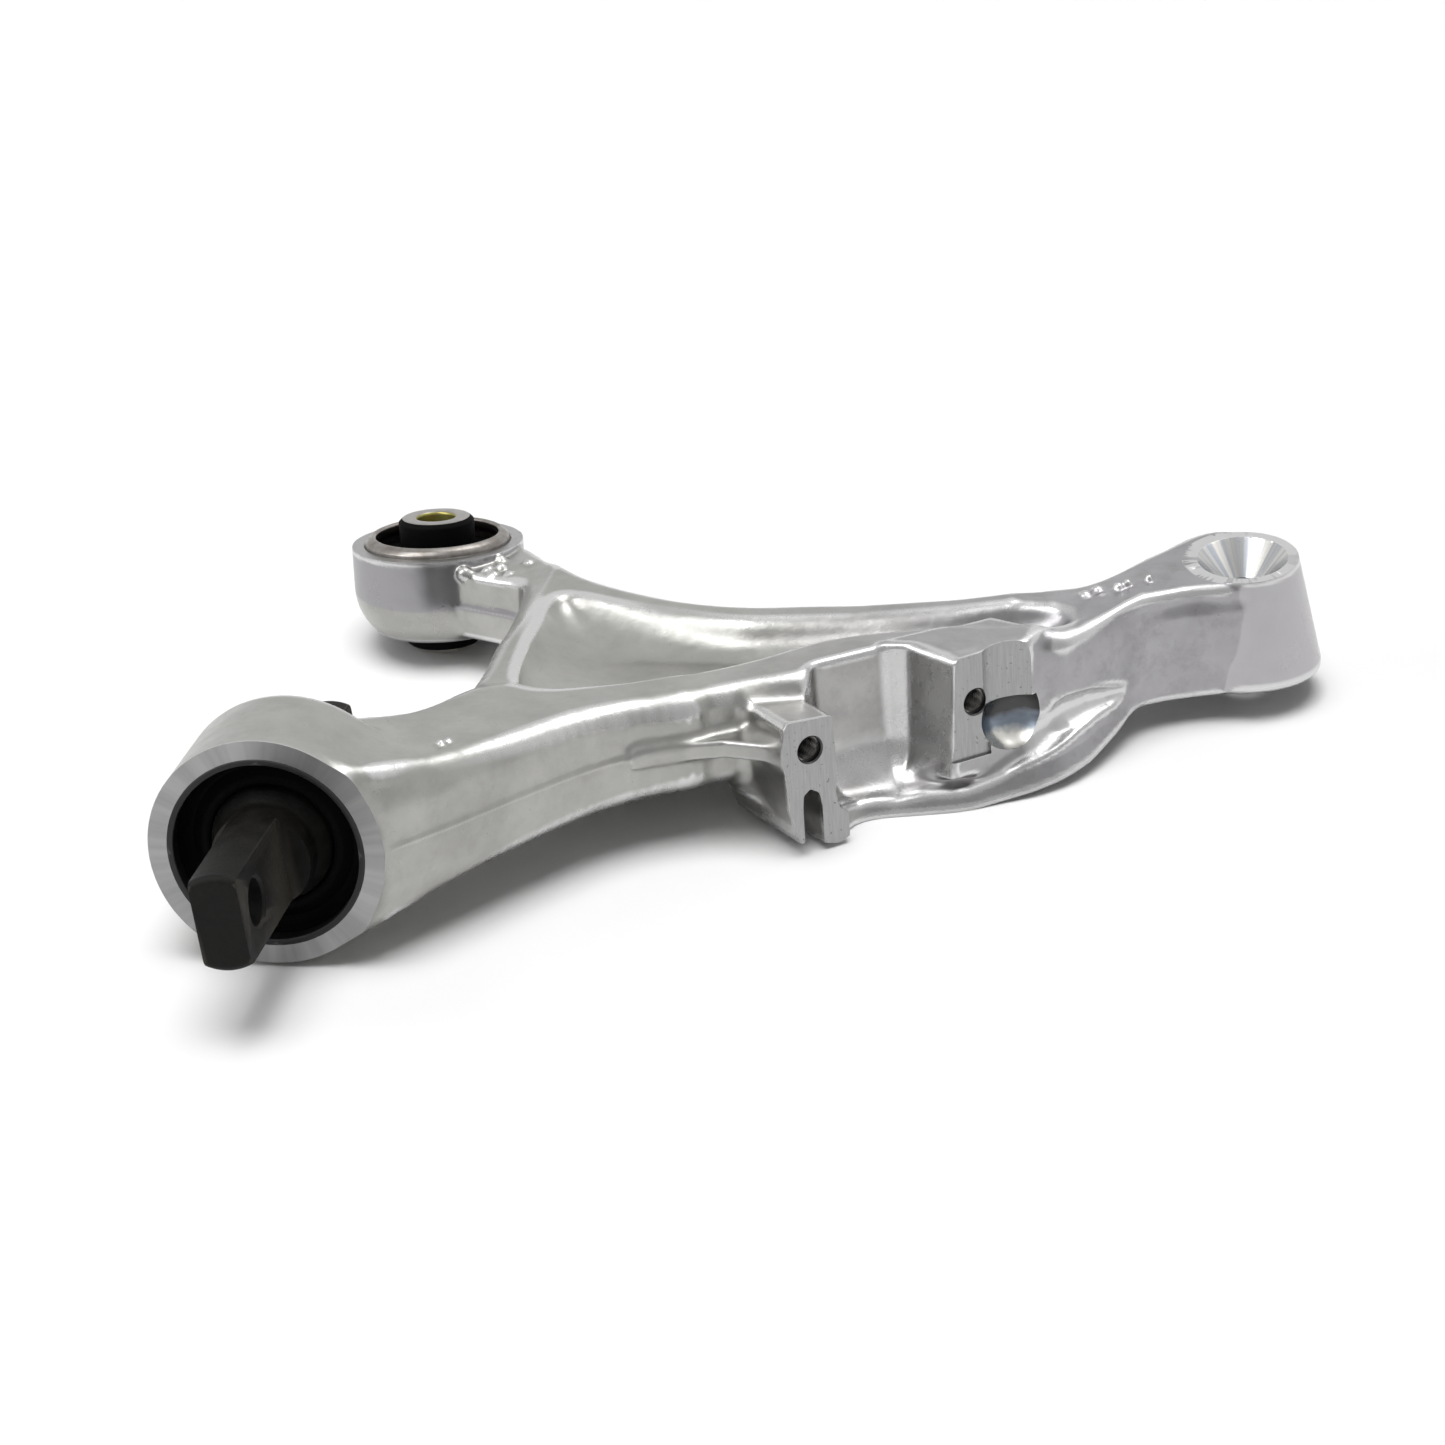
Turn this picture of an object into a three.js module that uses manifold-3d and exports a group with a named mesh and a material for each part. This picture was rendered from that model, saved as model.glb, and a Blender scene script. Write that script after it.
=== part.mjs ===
// Forged aluminium lower control arm with two pressed-in bushes.
// Millimetres. +Y: from the bar pin bush to the vertical bush, the line that the arm swings about.
// +X: outboard, to the ball stud seat. +Z: forging die direction. Shapes are drawn about the middle
// of the vertical bush; the finished arm is moved so that its origin is the centre of the bar pin's
// front end face, which lies on the swing line.
import * as THREE from 'three';
import { mergeVertices } from 'three/addons/utils/BufferGeometryUtils.js';
import Module from 'manifold-3d';

const wasm = await Module();
wasm.setup();

// ---- driving dimensions ----
const GAP = 0.3;
const DEG = Math.PI / 180;
// Reach of a cutter that passes clean through, and the sides of a large turned surface.
const THROUGH = 60;
const FINE = 60;

const RAIL_HALF = 17;
const REAR_RAIL_HALF = 13;
const RAIL_ROUND_UP = 7;
const RAIL_ROUND_SIDE = 5;
const WEB_HALF = 3.5;
const POCKET_FILLET = 8;
const POCKET_DRAFT = 4.5;

const BAR_BUSH_Y = -217;
const BAR_EYE_RADIUS = 37;
const BAR_EYE_LENGTH = 37.2;
const BAR_SLEEVE_RADIUS = 31;
const BAR_SLEEVE_WALL = 2;
const BAR_SLEEVE_LENGTH = 35.6;
const BAR_PIN_RADIUS = 15.5;
const BAR_PIN_HUB_RADIUS = 19;
const BAR_PIN_LENGTH = 135;
const BAR_PIN_ROLL = 5 * DEG;
const BAR_TONGUE_THICK = 14.6;
const BAR_TONGUE_LENGTH = 44.5;
const BAR_HOLE_RADIUS = 7.2;
const BAR_HOLE_FROM_END = 15;

const VERT_TILT = 5.56 * DEG;
const VERT_EYE_RADIUS = 30.75;
const VERT_EYE_TOP = 14.1;
const VERT_EYE_BOTTOM = -17.3;
const VERT_EYE_FOOT_RADIUS = 22.5;
const VERT_EYE_BULGE_HEIGHT = 17;
const VERT_SLEEVE_RADIUS = 26;
const VERT_SLEEVE_WALL = 2.2;
const VERT_RIM_TOP = 17.6;
const VERT_RIM_RADIUS = 22;
const VERT_LIP_RADIUS = 20;
const VERT_INNER_RADIUS = 13;
const VERT_INNER_BULGE = 17;
const VERT_INNER_HALF = 23.35;
const VERT_BORE_RADIUS = 7.3;

const SEAT_CENTRE = [287.7, -30.5, 20];
const SEAT_TILT = 7 * DEG;
const SEAT_TOP_RADIUS = 18.6;
const SEAT_SIDE_SLOPE = 0.19;
const SEAT_HEIGHT = 43;
const SEAT_FLOOR = -22;
const SEAT_CONE_RADIUS = 15.2;
const SEAT_CONE_DEPTH = 10.4;
const SEAT_BORE_TOP_RADIUS = 5.8;
const SEAT_BORE_END_RADIUS = 5.2;
const SEAT_SPOTFACE_RADIUS = 13;
const SEAT_SPOTFACE_DEPTH = 1.5;

// Damper bracket frame: u runs along the two bolt holes, n points out of the milled faces.
const DAMPER_HOLE = [155.5, -151.7];
const DAMPER_PITCH = 63.4;
const DAMPER_ANGLE = Math.atan2(0.6386, 0.7695);
const DAMPER_THREAD_RADIUS = 3.5;
const DAMPER_INSERT_RADIUS = 4.3;
const DAMPER_HOLE_DEPTH = 22;
const DAMPER_INSERT_LENGTH = 16;
const DAMPER_BLOCK_DEPTH = 38;
const DAMPER_FOOT = -35.8;
const BOWL_FLOOR = -29.5;
const RELIEF_RADIUS = 15;
const SCOOP_RADIUS = 12.5;
const SCOOP_TOP = 9;

// ---- boolean helpers ----
function toSolid(geometry) {
  const bare = geometry.clone();
  bare.deleteAttribute('normal');
  bare.deleteAttribute('uv');
  const merged = mergeVertices(bare, 1e-4);
  return new wasm.Manifold(new wasm.Mesh({
    numProp: 3,
    vertProperties: new Float32Array(merged.attributes.position.array),
    triVerts: new Uint32Array(merged.index.array),
  }));
}

function toGeometry(solid) {
  const mesh = solid.getMesh();
  const geometry = new THREE.BufferGeometry();
  geometry.setAttribute('position', new THREE.BufferAttribute(new Float32Array(mesh.vertProperties), 3));
  geometry.setIndex(new THREE.BufferAttribute(new Uint32Array(mesh.triVerts), 1));
  geometry.computeVertexNormals();
  return geometry;
}

function joined(parts) {
  return parts.reduce((sum, part) => sum.add(part));
}

// ---- shape helpers ----
function polygon(points) {
  return new THREE.Shape(points.map(([x, y]) => new THREE.Vector2(x, y)));
}

function smooth(points, count) {
  const curve = new THREE.CatmullRomCurve3(
    points.map(([x, y]) => new THREE.Vector3(x, y, 0)), true, 'centripetal');
  return polygon(curve.getPoints(count).slice(0, -1).map((p) => [p.x, p.y]));
}

// Upright slab between two heights; `up` and `side` round its top and bottom edges.
function slab(shape, low, high, up = 0, side = 0, steps = 2) {
  const geometry = new THREE.ExtrudeGeometry(shape, {
    depth: high - low - 2 * up,
    bevelEnabled: up > 0,
    bevelThickness: up,
    bevelSize: side,
    bevelOffset: -side,
    bevelSegments: steps,
    curveSegments: 24,
  });
  geometry.translate(0, 0, low + up);
  return geometry;
}

// Profile given as [radius, height] pairs, turned about Z.
function turned(profile, segments = 48) {
  return new THREE.LatheGeometry(profile.map(([r, h]) => new THREE.Vector2(r, h)), segments)
    .rotateX(Math.PI / 2);
}

function ring(inner, outer, low, high, segments = 48) {
  return turned([[inner, low], [outer, low], [outer, high], [inner, high], [inner, low]], segments);
}

function rod(radius, low, high, segments = 48) {
  return turned([[0, low], [radius, low], [radius, high], [0, high]], segments);
}

function material(colour, roughness, metalness) {
  return new THREE.MeshStandardMaterial({ color: colour, roughness, metalness });
}

function node(name, geometry, look) {
  const mesh = new THREE.Mesh(geometry, look);
  mesh.name = name;
  return mesh;
}

// ---- frames of the tilted and turned features ----
function alongBar(geometry) {
  return geometry.rotateX(Math.PI / 2).translate(0, BAR_BUSH_Y, 0);
}

function alongVertical(geometry) {
  return geometry.rotateX(-VERT_TILT);
}

function alongSeat(geometry) {
  return geometry.rotateX(SEAT_TILT).translate(...SEAT_CENTRE);
}

function bracketPoint([u, n]) {
  const c = Math.cos(DAMPER_ANGLE);
  const s = Math.sin(DAMPER_ANGLE);
  return [DAMPER_HOLE[0] + u * c + n * s, DAMPER_HOLE[1] + u * s - n * c];
}

// Shape drawn in (u, z) on the milled face, extruded from depth `back` to depth `front` along n.
function fromFace(points, back, front) {
  const geometry = new THREE.ExtrudeGeometry(polygon(points), { depth: front - back, bevelEnabled: false });
  geometry.translate(0, 0, back);
  geometry.rotateX(Math.PI / 2);
  geometry.rotateZ(DAMPER_ANGLE);
  geometry.translate(DAMPER_HOLE[0], DAMPER_HOLE[1], 0);
  return geometry;
}

function faceRod(radius, u, z, back, front, segments = 32) {
  const geometry = rod(radius, back, front, segments);
  geometry.rotateX(Math.PI / 2);
  geometry.translate(u, 0, z);
  geometry.rotateZ(DAMPER_ANGLE);
  geometry.translate(DAMPER_HOLE[0], DAMPER_HOLE[1], 0);
  return geometry;
}

// ---- outlines of the forging, seen from above ----
const ARM_OUTLINE = [
  [20, -233], [32, -233], [49, -215], [66, -193], [85, -170], [97, -160], [109, -153],
  [122, -147], [136, -139], [152, -131], [168, -119], [184, -111], [198, -114], [209, -107.5],
  [222, -97], [234, -86.5], [246, -74], [256, -62], [268, -56], [283, -51.5], [294, -46], [302, -30],
  [300, -15], [285, -9], [268, -14], [255, -26], [240, -40], [225, -48], [207, -53], [174, -56],
  [146, -58], [124, -60], [104, -57], [85, -49], [66, -37], [48, -20], [32, 0], [12, 12],
  [-6, -4], [2, -20], [12, -26], [25, -32], [35, -37], [39.5, -42], [41, -52], [41.5, -66], [42.5, -100],
  [43, -130], [40, -152], [30, -176], [18, -198], [12, -214],
];
const POCKET_OUTLINE = [
  [64, -58], [72, -59], [84, -64], [100, -71], [122, -76], [146, -74], [174, -71], [206, -67], [222, -65],
  [231, -67], [235, -73], [231, -80], [222, -86], [208, -88], [194, -87], [180, -86], [164, -90],
  [148, -101], [134, -114], [118, -125], [98, -135], [82, -142], [70, -146], [62, -143], [58, -134],
  [56, -118], [55, -96], [56, -78], [59, -64],
];
const NECK_BAR_OUTLINE = [
  [8, -233], [22, -236], [33, -233], [49, -215], [66, -193], [85, -170], [100, -158], [118, -148],
  [112, -128], [92, -134], [70, -139], [53, -142], [42, -150], [34, -163], [26, -174], [16, -186], [2, -196],
];
const NECK_SEAT_OUTLINE = [
  [232, -90], [243, -77], [256, -62], [270, -54], [283, -51], [293, -46], [299, -36], [300, -26], [294, -15],
  [277, -10], [257, -25], [239, -41], [228, -49], [220, -56], [216, -66], [218, -80], [224, -88],
];

// ---- forging bodies ----
function plate() {
  const full = toSolid(slab(smooth(ARM_OUTLINE, 104), -RAIL_HALF, RAIL_HALF, RAIL_ROUND_UP, RAIL_ROUND_SIDE));
  const drop = [[-250, -RAIL_HALF - 1], [-104, -RAIL_HALF - 1], [-78, -REAR_RAIL_HALF], [30, -REAR_RAIL_HALF],
    [30, REAR_RAIL_HALF], [-78, REAR_RAIL_HALF], [-104, RAIL_HALF + 1], [-250, RAIL_HALF + 1]];
  return full.intersect(toSolid(envelope(drop, Math.PI / 2, [150, 0], 400)));
}

function pockets() {
  const shape = smooth(POCKET_OUTLINE, 70);
  const upper = toSolid(slab(shape, WEB_HALF, WEB_HALF + 46, POCKET_FILLET, POCKET_DRAFT));
  const lower = toSolid(slab(shape, -WEB_HALF - 46, -WEB_HALF, POCKET_FILLET, POCKET_DRAFT));
  return joined([upper, lower]);
}

// Side envelope drawn in (distance, height) and swept across the given plan direction.
function envelope(points, angle, origin, width) {
  const geometry = new THREE.ExtrudeGeometry(polygon(points), { depth: width, bevelEnabled: false });
  geometry.translate(0, 0, -width / 2);
  geometry.rotateX(Math.PI / 2);
  geometry.rotateZ(angle);
  geometry.translate(origin[0], origin[1], 0);
  return geometry;
}

function barNeck() {
  const slabSolid = toSolid(slab(smooth(NECK_BAR_OUTLINE, 60), -33, 33, RAIL_ROUND_UP, RAIL_ROUND_SIDE));
  const upper = [[124, 15], [96, 17], [67, 19], [53, 20.5], [41, 22], [24, 25.5], [10, 28.5], [-30, 33]];
  const side = upper.map(([d, z]) => [d, -z]).reverse().concat(upper);
  return slabSolid.intersect(toSolid(envelope(side, 38 * DEG, [0, BAR_BUSH_Y], 260)));
}

function seatNeck() {
  const slabSolid = toSolid(slab(smooth(NECK_SEAT_OUTLINE, 48), -23.5, 22, 5, 4));
  const side = [[215, -16], [240, -19], [256, -23], [270, -23.5], [285, SEAT_FLOOR], [310, SEAT_FLOOR],
    [310, 19], [275, 20], [262, 19.5], [240, 16.5], [215, 13]];
  return slabSolid.intersect(toSolid(envelope(side, 0, [0, -30], 260)));
}

function barEye() {
  const half = BAR_EYE_LENGTH / 2;
  const profile = [
    [0, -half], [BAR_EYE_RADIUS - 1.5, -half], [BAR_EYE_RADIUS, -half + 1.5],
    [BAR_EYE_RADIUS, half - 3], [BAR_EYE_RADIUS - 3, half], [0, half],
  ];
  return toSolid(alongBar(turned(profile, FINE)));
}

function verticalEye() {
  const profile = [[0, VERT_EYE_BOTTOM], [VERT_EYE_FOOT_RADIUS, VERT_EYE_BOTTOM]];
  const bulge = VERT_EYE_RADIUS - VERT_EYE_FOOT_RADIUS;
  const steps = 4;
  for (let i = 1; i <= steps; i += 1) {
    const a = (i / steps) * 90 * DEG;
    profile.push([
      VERT_EYE_FOOT_RADIUS + bulge * Math.sin(a),
      VERT_EYE_BOTTOM + VERT_EYE_BULGE_HEIGHT * (1 - Math.cos(a)),
    ]);
  }
  profile.push([VERT_EYE_RADIUS, VERT_EYE_TOP - 1], [VERT_EYE_RADIUS - 1, VERT_EYE_TOP], [0, VERT_EYE_TOP]);
  return toSolid(alongVertical(turned(profile, FINE)));
}

function seatBoss() {
  const low = SEAT_TOP_RADIUS + SEAT_SIDE_SLOPE * SEAT_HEIGHT;
  const profile = [
    [0, -SEAT_HEIGHT], [low - 3, -SEAT_HEIGHT], [low - 0.6, -SEAT_HEIGHT + 1.2], [low, -SEAT_HEIGHT + 4],
    [SEAT_TOP_RADIUS, -1], [SEAT_TOP_RADIUS - 1, 0], [0, 0],
  ];
  return toSolid(alongSeat(turned(profile, FINE)));
}

function damperBlocks() {
  const inboardFace = [
    [-8, 11], [8.9, 9.6], [9.9, -9.6], [8.8, -17.3], [10, -22.5], [13.5, -25.4], [13.3, -33.6], [9.3, -35],
    [-4, -30], [-8.6, -19.1], [-9.7, -6], [-10.2, 1], [-9.4, 9],
  ];
  const inboard = toSolid(fromFace(inboardFace, -DAMPER_BLOCK_DEPTH, 0));
  const wedge = polygon([[54, 0.5], [84, 0.5], [92, -6], [92, -36], [40, -36], [44, -26]].map(bracketPoint));
  const outboard = toSolid(slab(wedge, -24, RAIL_HALF - 1));
  return joined([inboard, outboard]);
}

function damperFloor() {
  const rim = [
    [-4, -14], [4, -6], [14, -3], [26, 0], [40, 4], [54, 6], [68, 8.2], [80, 10.6], [92, 10.8], [104, 8],
    [114, 4], [124, -0.5], [132, -7], [133, -14], [124, -20], [104, -26], [80, -34], [56, -38], [34, -40], [12, -42], [-8, -40],
    [-12, -26],
  ];
  const shelf = toSolid(slab(smooth(rim.map(bracketPoint), 56), -36, -12, 4, 2.5));
  const side = [
    [-30, -14], [-8, -22], [2, -31], [10, DAMPER_FOOT], [58, DAMPER_FOOT], [81, -33], [103, -30], [116, -26.5],
    [130, -22], [142, -18], [142, 0], [-30, 0],
  ];
  return shelf.intersect(toSolid(envelope(side, DAMPER_ANGLE, DAMPER_HOLE, 160)));
}

function damperRib() {
  const web = polygon([[100, -162], [112, -156], [128, -152.5], [147, -156.5], [150, -130], [120, -130]]);
  return toSolid(slab(web, -3, 3, 1, 1, 1));
}

// Bowl between the two damper bosses: open to the front and the top.
function damperBowl() {
  const bowl = [[9.9, 44], [9.9, -15], [19, -25], [43, -24], [50, -15], [55.5, 0], [66, 44]];
  return toSolid(slab(polygon(bowl.map(bracketPoint)), BOWL_FLOOR, THROUGH, 10, 5));
}

function damperUnderArch() {
  const arch = [[3.9, -44], [3.5, -20], [2.6, -15.5], [-0.6, -13.4], [-3.2, -15.2], [-4.2, -20], [-4.6, -44]];
  return toSolid(fromFace(arch, -24, 12));
}

// Milled clearance beside the outboard boss: face pass, upright cutter pass and ball-ended scoop.
function outboardRelief() {
  const pass = toSolid(fromFace([[52, -19], [68, -19], [68, 30], [52, 30]], 0, 30));
  const upright = rod(RELIEF_RADIUS, -12, 40, FINE).translate(...bracketPoint([73.7, 13.1]), 0);
  const rim = Math.PI / 2 + Math.asin(SCOOP_TOP / SCOOP_RADIUS);
  const steps = 12;
  const ball = Array.from({ length: steps + 1 }, (_, i) => {
    const angle = rim * i / steps;
    return [SCOOP_RADIUS * Math.sin(angle), -SCOOP_RADIUS * Math.cos(angle)];
  });
  const scoop = turned([...ball, [0, SCOOP_TOP]]).translate(...bracketPoint([76, 6.5]), -8);
  return joined([pass, toSolid(upright), toSolid(scoop)]);
}

function armForging() {
  const shelfSolid = damperFloor();
  const body = joined([
    plate(), barNeck(), seatNeck(), barEye(), verticalEye(), seatBoss(), damperBlocks(), shelfSolid, damperRib(),
  ]);
  const barBore = toSolid(alongBar(rod(BAR_SLEEVE_RADIUS + GAP / 10, -THROUGH, THROUGH, FINE)));
  const barFrontPass = toSolid(new THREE.BoxGeometry(240, 40, 120)
    .translate(0, BAR_BUSH_Y - BAR_EYE_LENGTH / 2 - 20, 0));
  const barSlant = toSolid(slab(polygon([[31.5, -236], [49.6, -214.8], [70, -236], [70, -250], [31.5, -250]]),
    -THROUGH, THROUGH));
  const seatFloor = toSolid(new THREE.BoxGeometry(120, 160, 30).translate(320, -10, SEAT_FLOOR - 15));
  const vertBore = toSolid(alongVertical(rod(VERT_SLEEVE_RADIUS + GAP / 10, VERT_EYE_BOTTOM + 3, THROUGH, FINE)));
  const vertLip = toSolid(alongVertical(rod(VERT_LIP_RADIUS, -THROUGH, 0, FINE)));
  const vertTopPass = toSolid(alongVertical(rod(VERT_EYE_RADIUS + 2, VERT_EYE_TOP, THROUGH, FINE)));
  const seatTopPass = toSolid(alongSeat(rod(SEAT_TOP_RADIUS + 1.5, 0, THROUGH, FINE)));
  const seatDepth = SEAT_HEIGHT + 10;
  const seatBore = toSolid(alongSeat(turned([
    [0, -seatDepth], [SEAT_BORE_END_RADIUS, -seatDepth], [SEAT_BORE_TOP_RADIUS, -SEAT_CONE_DEPTH],
    [SEAT_CONE_RADIUS, 0], [SEAT_CONE_RADIUS + 1, 1], [0, 1],
  ], 64)));
  const spotFace = toSolid(alongSeat(rod(SEAT_SPOTFACE_RADIUS, -THROUGH, -SEAT_HEIGHT + SEAT_SPOTFACE_DEPTH)));
  const holes = [0, DAMPER_PITCH].map((u) => toSolid(
    faceRod(DAMPER_INSERT_RADIUS, u, 0, -DAMPER_HOLE_DEPTH, 30)));
  const cuts = joined([
    pockets().subtract(shelfSolid), damperBowl(), damperUnderArch(), outboardRelief(),
    barBore, barFrontPass, barSlant, seatFloor,
    vertBore, vertLip, vertTopPass, seatTopPass, seatBore, spotFace, ...holes,
  ]);
  return toGeometry(body.subtract(cuts));
}

// ---- bar pin bush ----
function barOuterSleeve() {
  const half = BAR_SLEEVE_LENGTH / 2;
  return alongBar(ring(BAR_SLEEVE_RADIUS - BAR_SLEEVE_WALL, BAR_SLEEVE_RADIUS, -half, half, FINE));
}

function barRubber() {
  const outer = BAR_SLEEVE_RADIUS - BAR_SLEEVE_WALL - GAP;
  const inner = BAR_PIN_HUB_RADIUS + GAP;
  const profile = [
    [inner, -10.5], [inner + 2.5, -11], [outer - 3, -8], [outer, -14], [outer, 14], [outer - 3, 8],
    [inner + 2.5, 11], [inner, 10.5], [inner, -10.5],
  ];
  return alongBar(turned(profile, FINE));
}

function barPin() {
  const half = BAR_PIN_LENGTH / 2;
  const profile = [
    [0, -half], [BAR_PIN_RADIUS - 2, -half], [BAR_PIN_RADIUS, -half + 2], [BAR_PIN_RADIUS, -16],
    [BAR_PIN_HUB_RADIUS, -11], [BAR_PIN_HUB_RADIUS, 11], [BAR_PIN_RADIUS, 16], [BAR_PIN_RADIUS, half - 2],
    [BAR_PIN_RADIUS - 2, half], [0, half],
  ];
  let pin = toSolid(turned(profile, 48));
  for (const end of [-1, 1]) {
    const middle = end * (half - BAR_TONGUE_LENGTH / 2 + 5);
    for (const side of [-1, 1]) {
      const flat = new THREE.BoxGeometry(20, 60, BAR_TONGUE_LENGTH + 10)
        .translate(side * (BAR_TONGUE_THICK / 2 + 10), 0, middle);
      pin = pin.subtract(toSolid(flat));
    }
    const hole = rod(BAR_HOLE_RADIUS, -30, 30, 48)
      .rotateY(Math.PI / 2)
      .translate(0, 0, end * (half - BAR_HOLE_FROM_END));
    pin = pin.subtract(toSolid(hole));
  }
  return alongBar(toGeometry(pin.rotate([0, 0, BAR_PIN_ROLL / DEG])));
}

// ---- vertical bush ----
function verticalOuterSleeve() {
  const inner = VERT_SLEEVE_RADIUS - VERT_SLEEVE_WALL;
  const bottom = VERT_EYE_BOTTOM + 3.2;
  return turned([
    [inner, bottom], [VERT_SLEEVE_RADIUS, bottom], [VERT_SLEEVE_RADIUS, VERT_EYE_TOP + 1],
    [VERT_SLEEVE_RADIUS - 1.2, VERT_RIM_TOP - 1], [VERT_RIM_RADIUS + 1, VERT_RIM_TOP],
    [VERT_RIM_RADIUS, VERT_RIM_TOP - 0.6], [VERT_RIM_RADIUS, VERT_RIM_TOP - 3],
    [inner, VERT_RIM_TOP - 5], [inner, bottom],
  ], FINE);
}

function arc(radius, half, steps) {
  const limit = Math.asin(half / radius);
  return Array.from({ length: steps + 1 }, (_, i) => {
    const angle = limit * (2 * i / steps - 1);
    return [radius * Math.cos(angle), radius * Math.sin(angle)];
  });
}

// The rubber seats on a round bulge, so the sleeve can tilt inside it.
function verticalRubber() {
  const outer = VERT_SLEEVE_RADIUS - VERT_SLEEVE_WALL - GAP;
  const bulge = arc(VERT_INNER_BULGE + GAP, 7, 6).reverse();
  return turned([[outer, -12], [outer, 10.5], [outer - 2.5, 8], ...bulge, [outer - 3, -8.5], [outer, -12]], 48);
}

function verticalInnerSleeve() {
  const half = VERT_INNER_HALF;
  const seat = Math.sqrt(VERT_INNER_BULGE ** 2 - VERT_INNER_RADIUS ** 2);
  return turned([
    [VERT_BORE_RADIUS, -half], [VERT_INNER_RADIUS - 0.8, -half], [VERT_INNER_RADIUS, -half + 0.8],
    ...arc(VERT_INNER_BULGE, seat, 10), [VERT_INNER_RADIUS, half - 0.8], [VERT_INNER_RADIUS - 0.8, half],
    [VERT_BORE_RADIUS, half], [VERT_BORE_RADIUS, -half],
  ], 48);
}

// ---- damper thread inserts ----
function threadInsert() {
  return ring(DAMPER_THREAD_RADIUS, DAMPER_INSERT_RADIUS - GAP / 10, -DAMPER_INSERT_LENGTH, -1, 32)
    .rotateX(Math.PI / 2);
}

function insertAt(name, u) {
  const mesh = node(name, threadInsert(), material(0xb9b4a2, 0.35, 1));
  const [x, y] = bracketPoint([u, 0]);
  mesh.position.set(x, y, 0);
  mesh.rotation.z = DAMPER_ANGLE;
  return mesh;
}

// ---- assembly ----
const forgedAluminium = () => material(0xb9bbbd, 0.38, 0.9);
const blackRubber = () => material(0x151515, 0.85, 0);
const blackSteel = () => material(0x1b1b1c, 0.5, 0.6);
const silverSteel = () => material(0x9c9a96, 0.35, 0.9);
const zincSteel = () => material(0x8f8a6c, 0.35, 0.85);

const drawn = new THREE.Group();
drawn.name = 'drawn_about_vertical_bush';
drawn.position.y = BAR_PIN_LENGTH / 2 - BAR_BUSH_Y;
drawn.add(node('arm_forging', armForging(), forgedAluminium()));
drawn.add(node('bar_pin_bush_outer_sleeve', barOuterSleeve(), blackSteel()));
drawn.add(node('bar_pin_bush_rubber', barRubber(), blackRubber()));
drawn.add(node('bar_pin', barPin(), blackSteel()));

const verticalBush = new THREE.Group();
verticalBush.name = 'vertical_bush';
verticalBush.rotation.x = -VERT_TILT;
verticalBush.add(node('vertical_bush_outer_sleeve', verticalOuterSleeve(), silverSteel()));
verticalBush.add(node('vertical_bush_rubber', verticalRubber(), blackRubber()));
verticalBush.add(node('vertical_bush_inner_sleeve', verticalInnerSleeve(), zincSteel()));
drawn.add(verticalBush);

drawn.add(insertAt('damper_thread_insert_inboard', 0));
drawn.add(insertAt('damper_thread_insert_outboard', DAMPER_PITCH));

const controlArm = new THREE.Group();
controlArm.name = 'control_arm';
controlArm.add(drawn);

export default controlArm;
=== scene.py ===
# Looks of the forged aluminium lower control arm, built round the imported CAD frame.
# Shapes are drawn in millimetres about the middle of the vertical bush, then placed in the frame.
import math

import bmesh
import bpy
import numpy as np
from mathutils import Matrix, Vector


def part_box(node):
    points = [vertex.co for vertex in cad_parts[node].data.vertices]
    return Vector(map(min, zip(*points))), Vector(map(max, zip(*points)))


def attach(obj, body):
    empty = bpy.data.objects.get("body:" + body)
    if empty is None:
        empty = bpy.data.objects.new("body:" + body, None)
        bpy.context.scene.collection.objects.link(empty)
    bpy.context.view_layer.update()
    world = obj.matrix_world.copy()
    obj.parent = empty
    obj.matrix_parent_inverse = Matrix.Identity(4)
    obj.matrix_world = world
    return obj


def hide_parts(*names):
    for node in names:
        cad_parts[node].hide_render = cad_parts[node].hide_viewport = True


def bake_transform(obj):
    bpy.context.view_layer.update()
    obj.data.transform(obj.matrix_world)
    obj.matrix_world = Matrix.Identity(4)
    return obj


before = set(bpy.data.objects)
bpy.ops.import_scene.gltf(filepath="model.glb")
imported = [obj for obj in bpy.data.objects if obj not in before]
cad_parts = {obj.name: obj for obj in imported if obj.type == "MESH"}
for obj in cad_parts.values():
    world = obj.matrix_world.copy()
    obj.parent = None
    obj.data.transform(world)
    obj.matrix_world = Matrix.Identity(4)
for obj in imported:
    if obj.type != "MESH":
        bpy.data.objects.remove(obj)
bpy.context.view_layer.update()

MM = 0.001
sleeve_low, sleeve_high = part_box("vertical_bush_inner_sleeve")
DRAWN_AT = (Vector(sleeve_low) + Vector(sleeve_high)) / 2
GRID = 0.8
INTO_FRAME = Matrix.Translation(DRAWN_AT) @ Matrix.Scale(MM, 4)
FACING_FRONT = Matrix.Rotation(math.pi / 2, 4, "X")

# ---- sizes of the forging, millimetres ----
DRAFT = math.radians(5)
FRONT_RAIL_HALF = 17.0
REAR_RAIL_HALF = 13.0
RAIL_ROUND = 6.5
WEB_HALF = 3.5
POCKET_ROUND = 13.0

BAR_Y = -217.0
BAR_EYE_R = 37.0
BAR_FRONT_Y = -235.6
BAR_REAR_Y = -198.4
BAR_SLEEVE_R = 31.0
BAR_SLEEVE_WALL = 2.0
BAR_SLEEVE_HALF = 17.8
PIN_HALF = 67.5
PIN_R = 15.5
PIN_HUB_R = 19.0
PIN_ROLL = math.radians(5)
TONGUE = 44.5
TONGUE_HALF = 7.3
CROSS_HOLE_R = 7.2
CROSS_HOLE_IN = 15.0

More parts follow.
